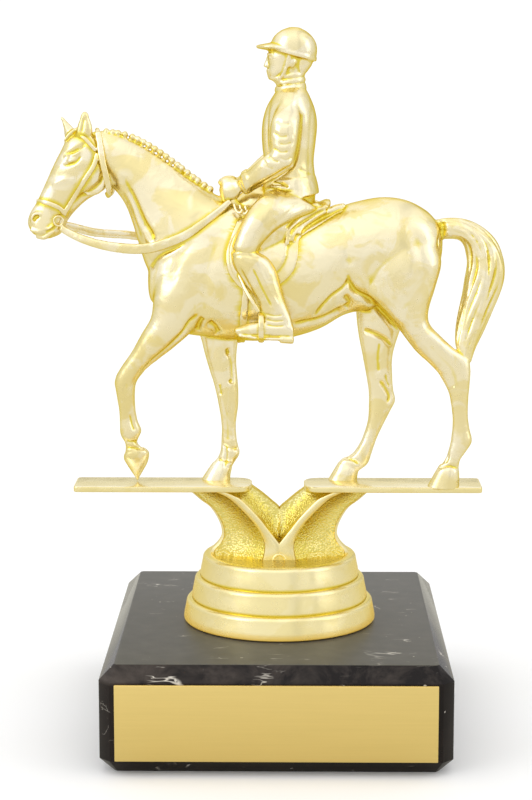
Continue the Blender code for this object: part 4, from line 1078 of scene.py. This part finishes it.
def bevel_where(thing, test, width, segments=1):
    """Bevels the edges that the test picks."""
    pick(thing)
    bpy.ops.object.mode_set(mode="EDIT")
    bpy.ops.mesh.select_mode(type="EDGE")
    bpy.ops.mesh.select_all(action="DESELECT")
    clay = bmesh.from_edit_mesh(thing.data)
    for side in clay.edges:
        side.select_set(test(side.verts[0].co, side.verts[1].co))
    bmesh.update_edit_mesh(thing.data)
    bpy.ops.mesh.bevel(offset=width, segments=segments, affect="EDGES", profile=0.5)
    bpy.ops.object.mode_set(mode="OBJECT")


def soften_edges(thing, width, segments):
    """Rounds every sharp edge a little."""
    pick(thing)
    edge = thing.modifiers.new("edge", "BEVEL")
    edge.width = width
    edge.segments = segments
    edge.limit_method = "ANGLE"
    edge.angle_limit = math.radians(20)
    bpy.ops.object.modifier_apply(modifier="edge")
    bpy.ops.object.shade_smooth_by_angle(angle=math.radians(28))


def hoof_plate(side):
    """The bar under two of the hooves, rounded at the end over the riser."""
    near_end, far_end = sorted((side * 0.0063, side * 0.0488))
    half_width = 0.006
    thick = 0.0014
    low = (near_end, MIDDLE_LINE - half_width, PLATES_TOP - thick)
    high = (far_end, MIDDLE_LINE + half_width, PLATES_TOP)
    made = box("hoof_plate_front" if side < 0 else "hoof_plate_rear", low, high)
    bevel_where(made, lambda a, b: abs(a.z - b.z) > 0.001 and abs(a.x) < 0.01, 0.0036, segments=3)
    bevel_where(made, lambda a, b: abs(a.z - b.z) > 0.001 and abs(a.x) > 0.045, 0.0009, segments=2)
    soften_edges(made, 0.00028, segments=3)
    return made


def turned(name, profile):
    """A profile of (radius, height, how much painted shade) turned about the figure's middle."""
    steps = 160
    mesh = bpy.data.meshes.new(name)
    mesh.from_pydata([(r, 0, z) for r, z, _ in profile], [(i, i + 1) for i in range(len(profile) - 1)], [])
    layer = mesh.attributes.new("hollow", "FLOAT", "POINT")
    layer.data.foreach_set("value", [float(deep) for _, _, deep in profile])
    made = bpy.data.objects.new(name, mesh)
    bpy.context.scene.collection.objects.link(made)
    pick(made)
    turn = made.modifiers.new("turn", "SCREW")
    turn.steps = steps
    turn.render_steps = steps
    turn.use_merge_vertices = True
    turn.merge_threshold = 0.00001
    bpy.ops.object.modifier_apply(modifier="turn")
    clay = bmesh.new()
    clay.from_mesh(made.data)
    bmesh.ops.remove_doubles(clay, verts=clay.verts, dist=0.000002)
    bmesh.ops.recalc_face_normals(clay, faces=clay.faces)
    for vert in clay.verts:
        vert.co += Vector((RISER_X, MIDDLE_LINE, 0))
    clay.to_mesh(made.data)
    clay.free()
    bpy.ops.object.shade_smooth_by_angle(angle=math.radians(40))
    return made


def stepped_foot():
    """Three tiers with rounded shoulders, each narrower than the one below, and a shallow dish on top."""
    low = FOOT_BASE
    radius = 0.0232
    tiers = 3
    tall = 0.0054
    # The third number of each point is painted shade: full in the grooves between the tiers, less under the
    # shoulders and in the dish.
    profile = [(0, low, 0), (radius - 0.0004, low, 0), (radius - 0.0001, low + 0.0003, 0)]
    step = 0.002
    for k in range(tiers):
        wide = radius - step * k
        base = low + tall * k
        if k:
            profile += [(wide - 0.0001, base - 0.0003, 1), (wide, base + 0.0003, 0.6)]
        profile += [
            (wide - 0.00005, base + 0.0007, 0), (wide - 0.0002, base + 0.0018, 0),
            (wide - 0.0005, base + 0.0032, 0),
        ]
        for turn in (0, 15, 30, 45, 60, 75, 90):
            a = math.radians(turn)
            shoulder = wide - 0.0020 + 0.0013 * math.cos(a)
            level = base + tall - 0.0011 + 0.0011 * math.sin(a)
            profile.append((shoulder, level, 0.0 if turn < 60 else 0.3))
        if k < tiers - 1:
            profile.append((wide - 0.00208, base + tall - 0.0003, 1))
    top = low + tall * tiers
    rim = profile[-1][0]
    profile += [
        (rim - 0.0006, top, 0), (rim - 0.0009, top - 0.0001, 0.1), (rim - 0.0013, top - 0.0006, 0.5),
        (rim - 0.0016, top - 0.0008, 0.3), (0, top - 0.0008, 0.2),
    ]
    return turned("stepped_foot", profile)


def marble_block():
    """The block, chamfered at its upright edges, then around its top and its underside."""
    made = box("marble_block_polished", BLOCK_LOW, BLOCK_HIGH)
    hair = 0.0001
    bevel_where(made, lambda a, b: abs(a.z - b.z) > 0.01, width=0.0026)
    bevel_where(made, lambda a, b: min(a.z, b.z) > BLOCK_HIGH[2] - hair, width=0.0034)
    bevel_where(made, lambda a, b: max(a.z, b.z) < hair, width=0.0033)
    soften_edges(made, 0.00012, segments=2)
    return made


def blank_tag():
    """The flat plate on the block's front, with nothing on it."""
    made = box("blank_plate", TAG_LOW, TAG_HIGH)
    soften_edges(made, 0.00016, segments=3)
    return made


# Materials

def linear(*rgb):
    """A colour given on a 0 to 255 scale, matched to the photo by comparing it with the render."""
    return tuple((c / 255 / 12.92) if c <= 10 else ((c / 255 + 0.055) / 1.055) ** 2.4 for c in rgb) + (1.0,)


def set_inputs(node, **values):
    """Sets a node's inputs by name, with underscores for spaces."""
    for key, value in values.items():
        node.inputs[key.replace("_", " ")].default_value = value


class Finish:
    """A material with its shader and short ways to add and join nodes."""

    def __init__(self, name, **values):
        self.material = bpy.data.materials.new(name)
        self.material.use_nodes = True
        self.tree = self.material.node_tree
        self.shader = self.tree.nodes["Principled BSDF"]
        set_inputs(self.shader, **values)
        self.where = self.add("ShaderNodeTexCoord").outputs["Object"]

    def add(self, kind, **values):
        node = self.tree.nodes.new(kind)
        for key, value in values.items():
            setattr(node, key, value)
        return node

    def join(self, source, target):
        self.tree.links.new(source, target)

    def noise(self, scale, detail=3.0, roughness=0.5, stretch=(1, 1, 1), distortion=0.0):
        spread = self.add("ShaderNodeMapping")
        set_inputs(spread, Scale=stretch)
        self.join(self.where, spread.inputs["Vector"])
        node = self.add("ShaderNodeTexNoise")
        set_inputs(node, Scale=scale, Detail=detail, Roughness=roughness, Distortion=distortion)
        self.join(spread.outputs["Vector"], node.inputs["Vector"])
        return node.outputs["Fac"]

    def ramp(self, source, low, high, bottom=0.0, top=1.0):
        node = self.add("ShaderNodeMapRange")
        set_inputs(node, From_Min=low, From_Max=high, To_Min=bottom, To_Max=top)
        self.join(source, node.inputs["Value"])
        return node.outputs["Result"]

    def mix(self, share, first, second):
        node = self.add("ShaderNodeMix", data_type="RGBA")
        self.join(share, node.inputs["Factor"])
        self.feed(first, node.inputs["A"])
        self.feed(second, node.inputs["B"])
        return node.outputs["Result"]

    def maths(self, operation, first, second):
        node = self.add("ShaderNodeMath", operation=operation)
        self.feed(first, node.inputs[0])
        self.feed(second, node.inputs[1])
        return node.outputs[0]

    def feed(self, value, socket):
        if isinstance(value, (tuple, float, int)):
            socket.default_value = value
        else:
            self.join(value, socket)

    def bump(self, height, strength, distance, under=None):
        node = self.add("ShaderNodeBump")
        set_inputs(node, Strength=strength, Distance=distance)
        self.join(height, node.inputs["Height"])
        if under is not None:
            self.join(under, node.inputs["Normal"])
        return node.outputs["Normal"]

    def hollow(self):
        """How deep in a hollow the piece's point lies, as stored on the piece; it sets how much painted
        shade the point takes.
        """
        return self.add("ShaderNodeAttribute", attribute_name="hollow").outputs["Fac"]


def make_group(name, inputs, outputs):
    """A node group with named sockets: (name, kind, value) going in and (name, kind) coming out."""
    tree = bpy.data.node_groups.new(name, "ShaderNodeTree")
    for label, kind, value in inputs:
        socket = tree.interface.new_socket(name=label, in_out="INPUT", socket_type=kind)
        socket.default_value = value
    for label, kind in outputs:
        tree.interface.new_socket(name=label, in_out="OUTPUT", socket_type=kind)
    return tree


class Effect(Finish):
    """The inside of a node group, with the same short ways to add and join nodes."""

    def __init__(self, name, inputs, outputs):
        self.tree = make_group(name, inputs, outputs)
        self.given = self.tree.nodes.new("NodeGroupInput").outputs
        self.made = self.tree.nodes.new("NodeGroupOutput").inputs
        self.where = self.add("ShaderNodeTexCoord").outputs["Object"]


def cast_metal():
    """Plated casting: patches of two tones that are painted reflections, a third tone of painted shade in
    the hollows, and a surface that waves a little.
    """
    effect = Effect(
        "cast_metal",
        [
            ("Pale", "NodeSocketColor", linear(249, 240, 213)),
            ("Dull", "NodeSocketColor", linear(239, 223, 162)),
            ("Deep", "NodeSocketColor", linear(230, 211, 70)),
            ("Hollow", "NodeSocketFloat", 0.0),
            ("Wave Depth", "NodeSocketFloat", 0.35),
        ],
        [("Color", "NodeSocketColor"), ("Roughness", "NodeSocketFloat"), ("Normal", "NodeSocketVector")],
    )
    # Painted reflections: noise patches of the pale and the dim tone stand in for the studio mirrored in the
    # plating.
    patches = effect.ramp(effect.noise(120, 3.0, 0.55, distortion=0.8), 0.47, 0.54)
    broad = effect.ramp(effect.noise(45, 2.0), 0.35, 0.65)
    patches = effect.maths("MULTIPLY", patches, 0.55)
    share = effect.maths("ADD", patches, effect.maths("MULTIPLY", broad, 0.45))
    tone = effect.mix(share, effect.given["Pale"], effect.given["Dull"])
    # Painted shade: where a point lies in a hollow or beside another piece, the shaded tone takes over.
    depth = effect.ramp(effect.given["Hollow"], 0.1, 0.7, 0.0, 0.92)
    effect.join(effect.mix(depth, tone, effect.given["Deep"]), effect.made["Color"])
    effect.join(effect.ramp(effect.noise(300, 3.0), 0.3, 0.7, 0.2, 0.3), effect.made["Roughness"])
    waves = effect.add("ShaderNodeBump")
    set_inputs(waves, Distance=0.0006)
    effect.join(effect.given["Wave Depth"], waves.inputs["Strength"])
    effect.join(effect.noise(210, 2.0, distortion=0.6), waves.inputs["Height"])
    grained = effect.bump(effect.noise(2600, 2.0), 0.02, 0.0001, waves.outputs["Normal"])
    effect.join(grained, effect.made["Normal"])
    return effect.tree


def plated(finish, metal, edge, most):
    """Joins the casting to the shader, with a yellower tone, a painted reflection, where the surface turns
    away.
    """
    turning = finish.add("ShaderNodeLayerWeight")
    set_inputs(turning, Blend=0.4)
    away = finish.ramp(turning.outputs["Facing"], 0.1, 0.75, 0.0, most)
    # Painted light: tops stay pale, as if lit from above
    upright = finish.add("ShaderNodeSeparateXYZ")
    finish.join(finish.add("ShaderNodeTexCoord").outputs["Normal"], upright.inputs["Vector"])
    away = finish.maths("MULTIPLY", away, finish.ramp(upright.outputs["Z"], 0.1, 0.7, 1.0, 0.2))
    finish.join(finish.mix(away, metal.outputs["Color"], edge), finish.shader.inputs["Base Color"])
    finish.join(metal.outputs["Roughness"], finish.shader.inputs["Roughness"])


def gold_plating(casting):
    """Bright pale plating, with painted shade that turns it deep yellow in the hollows and beside other
    pieces, and a yellower painted reflection where it turns away.
    """
    finish = Finish("gold_plating", Metallic=1.0, Specular_Tint=linear(238, 217, 118))
    metal = finish.add("ShaderNodeGroup", node_tree=casting)
    finish.join(finish.hollow(), metal.inputs["Hollow"])
    plated(finish, metal, linear(235, 219, 120), 0.85)
    finish.join(metal.outputs["Normal"], finish.shader.inputs["Normal"])
    return finish.material


def smooth_gold(name, casting, pale, dim_tone):
    """The foot, the ribs and the plates, evenly plated and hardly waved; they too take painted shade in
    their grooves and a painted reflection where they turn away.
    """
    finish = Finish(name, Metallic=1.0, Specular_Tint=linear(250, 240, 196))
    metal = finish.add("ShaderNodeGroup", node_tree=casting)
    set_inputs(metal, Pale=pale, Dull=dim_tone, Wave_Depth=0.04)
    finish.join(finish.hollow(), metal.inputs["Hollow"])
    plated(finish, metal, linear(238, 218, 140), 0.5)
    finish.join(metal.outputs["Normal"], finish.shader.inputs["Normal"])
    return finish.material


def stippled_gold(casting):
    """The riser's sunk panels, pricked all over, with painted shade in the pits and beside the ribs."""
    finish = Finish("stippled_gold", Metallic=1.0, Specular_Tint=linear(236, 208, 110))
    metal = finish.add("ShaderNodeGroup", node_tree=casting)
    set_inputs(metal, Pale=linear(250, 240, 180), Dull=linear(240, 227, 150), Deep=linear(218, 202, 92))
    cells = finish.add("ShaderNodeTexVoronoi", feature="F1")
    set_inputs(cells, Scale=2300)
    finish.join(finish.where, cells.inputs["Vector"])
    grain = finish.ramp(cells.outputs["Distance"], 0.1, 0.65)
    # Painted shade: the pits of the stipple take the shaded tone.
    pricked = finish.maths("MULTIPLY", finish.ramp(grain, 0.4, 1.0, 0.0, 0.7), 0.7)
    finish.join(finish.maths("ADD", finish.hollow(), pricked), metal.inputs["Hollow"])
    plated(finish, metal, linear(222, 203, 96), 0.8)
    finish.join(finish.bump(grain, 0.7, 0.00012), finish.shader.inputs["Normal"])
    return finish.material


def satin_gold():
    """Flat satin sheet with a faint grain along its length."""
    finish = Finish("satin_gold", Metallic=1.0)
    lines = finish.noise(2400, 3.0, stretch=(0.02, 1, 1))
    tone = finish.mix(finish.ramp(lines, 0.3, 0.7), linear(230, 205, 131), linear(233, 208, 134))
    finish.join(tone, finish.shader.inputs["Base Color"])
    finish.join(finish.ramp(lines, 0.3, 0.7, 0.44, 0.47), finish.shader.inputs["Roughness"])
    finish.join(finish.bump(lines, 0.05, 0.00003), finish.shader.inputs["Normal"])
    return finish.material


def black_marble():
    """Black stone with sparse cream veins and flecks, honed on top and polished elsewhere. Its top is grey,
    partly the honed stone's own tone and partly a painted sheen of the bright studio.
    """
    finish = Finish("black_marble", Specular_IOR_Level=0.2)

    def line_at(wander, level, width):
        """A thin line where the wandering value passes the level."""
        apart = finish.maths("ABSOLUTE", finish.maths("SUBTRACT", wander, level), 0.0)
        return finish.ramp(apart, 0.0, width, 0.9, 0.0)

    line = line_at(finish.noise(30, 6.0, 0.6, stretch=(0.4, 0.7, 1.6), distortion=0.6), 0.5, 0.005)
    vein = finish.maths("MULTIPLY", line, finish.ramp(finish.noise(90, 3.0), 0.55, 0.66))
    hair = line_at(finish.noise(85, 4.0, 0.6, stretch=(0.35, 1.2, 1.2), distortion=1.0), 0.46, 0.007)
    hair = finish.maths("MULTIPLY", hair, finish.ramp(finish.noise(120, 2.0), 0.6, 0.7))
    vein = finish.maths("MAXIMUM", vein, hair)
    flecks = finish.ramp(finish.noise(560, 2.0), 0.735, 0.79)
    vein = finish.maths("MAXIMUM", vein, finish.maths("MULTIPLY", flecks, 0.8))
    high = finish.add("ShaderNodeSeparateXYZ")
    finish.join(finish.where, high.inputs["Vector"])
    on_top = finish.ramp(high.outputs["Z"], BLOCK_HIGH[2] - 0.0001, BLOCK_HIGH[2] - 0.00005)
    on_slope = finish.ramp(high.outputs["Z"], BLOCK_HIGH[2] - 0.0042, BLOCK_HIGH[2] - 0.0030)
    clouds = finish.ramp(finish.noise(75, 5.0, 0.65, distortion=0.5), 0.42, 0.72)
    stone = finish.mix(clouds, linear(17, 11, 10), linear(31, 24, 22))
    stone = finish.mix(finish.maths("MULTIPLY", on_slope, clouds), stone, linear(76, 68, 62))
    # The top's grey: partly the honed stone's own tone, partly a painted sheen of the bright studio.
    mottle = finish.ramp(finish.noise(240, 4.0), 0.35, 0.7)
    grey = finish.mix(mottle, linear(82, 80, 72), linear(90, 87, 79))
    stone = finish.mix(on_top, stone, grey)
    stone = finish.mix(vein, stone, linear(218, 211, 198))
    # The photo's plating mirrors no black stone, so the block is pale where it is mirrored
    mirrored = finish.add("ShaderNodeLightPath").outputs["Is Glossy Ray"]
    finish.join(finish.mix(mirrored, stone, linear(226, 208, 150)), finish.shader.inputs["Base Color"])
    finish.join(finish.ramp(on_top, 0.0, 1.0, 0.12, 0.42), finish.shader.inputs["Roughness"])
    return finish.material


def plain_floor():
    """White to the eye and in its light, and a little dimmer where it is mirrored."""
    finish = Finish("pale_floor", Roughness=0.9)
    mirrored = finish.add("ShaderNodeLightPath").outputs["Is Glossy Ray"]
    white = finish.mix(finish.noise(3, 2.0), linear(252, 252, 252), linear(250, 250, 250))
    finish.join(finish.mix(mirrored, white, linear(222, 219, 206)), finish.shader.inputs["Base Color"])
    return finish.material


# Putting it together

casting = cast_metal()
gold = gold_plating(casting)
smooth = smooth_gold("smooth_gold", casting, linear(246, 233, 182), linear(241, 226, 166))
# A paler copy of the plating for the plates' tops, a painted highlight
plate_top_highlight = smooth_gold("plate_top_highlight", casting, linear(254, 250, 238), linear(252, 246, 228))
stipple = stippled_gold(casting)
marble = black_marble()
satin = satin_gold()

horse_piece = horse()
find_skin = skin_finder(horse_piece)
saddle_piece = saddle(find_skin)
tack_piece = tack(find_skin)
rider_piece = rider()
cast = [horse_piece, saddle_piece, tack_piece, rider_piece]
trees = {piece.name: BVHTree.FromObject(piece, bpy.context.evaluated_depsgraph_get()) for piece in cast}
# How near another piece has to lie to put painted shade on each of them, in squares
shade_reach = {"horse": 1.1, "saddle": 0.4, "tack": 0.3, "rider": 0.9}
for piece in cast:
    paint_shade_in_hollows(piece, trees, shade_reach[piece.name])
arms = [riser_arm(-1), riser_arm(1)]
plates = [hoof_plate(-1), hoof_plate(1)]
foot = [stepped_foot(), stem_arch()]
for piece in cast:
    piece.data.materials.append(gold)
for piece in plates + foot:
    piece.data.materials.append(smooth)
# Painted highlight: the plates' tops take a paler copy of the plating than their sides, as if lit from above
for piece in plates:
    piece.data.materials.append(plate_top_highlight)
    for face in piece.data.polygons:
        face.material_index = 1 if face.normal.z > 0.9 else 0
for piece in cast + arms + plates + foot:
    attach(piece, "root")
    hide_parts("figure")

block = marble_block()
block.data.materials.append(marble)
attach(block, "root")
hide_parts("marble_block")

tag = blank_tag()
tag.data.materials.append(satin)
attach(tag, "root")
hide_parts("name_plate")

# Floor, light and camera
bpy.ops.object.select_all(action="DESELECT")
bpy.ops.mesh.primitive_plane_add(size=6.0, location=(0, 0, 0))
floor = bpy.context.object
floor.name = "floor"
floor.data.materials.append(plain_floor())

world = bpy.data.worlds.new("studio")
bpy.context.scene.world = world
world.use_nodes = True
sky = world.node_tree
direction = sky.nodes.new("ShaderNodeTexCoord").outputs["Generated"]
parts = sky.nodes.new("ShaderNodeSeparateXYZ")
sky.links.new(direction, parts.inputs["Vector"])


def sky_range(source, low, high, bottom, top):
    node = sky.nodes.new("ShaderNodeMapRange")
    node.interpolation_type = "SMOOTHSTEP"
    set_inputs(node, From_Min=low, From_Max=high, To_Min=bottom, To_Max=top)
    sky.links.new(source, node.inputs["Value"])
    return node.outputs["Result"]


# White all round. What the plating mirrors is bright overhead and behind the camera, and dimmer elsewhere.
overhead = sky_range(parts.outputs["Z"], 0.2, 0.8, 1.0, 1.35)
beyond = sky_range(parts.outputs["Y"], -0.9, 0.4, 1.0, 0.84)


def times(first, second):
    node = sky.nodes.new("ShaderNodeMath")
    node.operation = "MULTIPLY"
    sky.links.new(first, node.inputs[0])
    sky.links.new(second, node.inputs[1])
    return node.outputs[0]


# Two dimmer strips to the right of the camera, which leave streaks in the plating
mirrored = times(overhead, beyond)
strip_dim = 0.78
strip_edge = 0.08
for low, high in ((0.24, 0.5), (0.68, 0.84)):
    mirrored = times(mirrored, sky_range(parts.outputs["X"], low, low + strip_edge, 1.0, strip_dim))
    mirrored = times(mirrored, sky_range(parts.outputs["X"], high - strip_edge, high, 1.0, 1 / strip_dim))
strength = sky.nodes.new("ShaderNodeMix")
strength.inputs["A"].default_value = 1.09
sky.links.new(sky.nodes.new("ShaderNodeLightPath").outputs["Is Glossy Ray"], strength.inputs["Factor"])
sky.links.new(mirrored, strength.inputs["B"])
sky.links.new(strength.outputs["Result"], sky.nodes["Background"].inputs["Strength"])
sky.nodes["Background"].inputs["Color"].default_value = (1.0, 1.0, 1.0, 1.0)


def softbox(name, location, size, power):
    """A lit panel turned towards the figure."""
    target = (0, 0, 0.09)
    lamp = bpy.data.lights.new(name, "AREA")
    lamp.shape = "RECTANGLE"
    lamp.size, lamp.size_y = size
    lamp.energy = power
    made = bpy.data.objects.new(name, lamp)
    bpy.context.scene.collection.objects.link(made)
    made.location = location
    made.rotation_euler = (Vector(target) - Vector(location)).to_track_quat("-Z", "Y").to_euler()


softbox("softbox_left", (-0.75, -0.55, 0.55), (0.5, 0.7), 1.6)
softbox("softbox_right", (0.8, -0.35, 0.45), (0.4, 0.7), 0.65)

# The camera was fitted to the photo's block and to the figure's outline
lens = bpy.data.cameras.new("camera")
camera = bpy.data.objects.new("camera", lens)
bpy.context.scene.collection.objects.link(camera)
camera.location = (0.003507, -0.510763, 0.160417)
camera.rotation_euler = (math.radians(90 - 9.1486), 0.0, math.radians(0.7174))
lens.lens = 96.55
lens.sensor_width = 36.0
lens.clip_start = 0.01
bpy.context.scene.camera = camera
bpy.context.scene.view_settings.view_transform = "Standard"
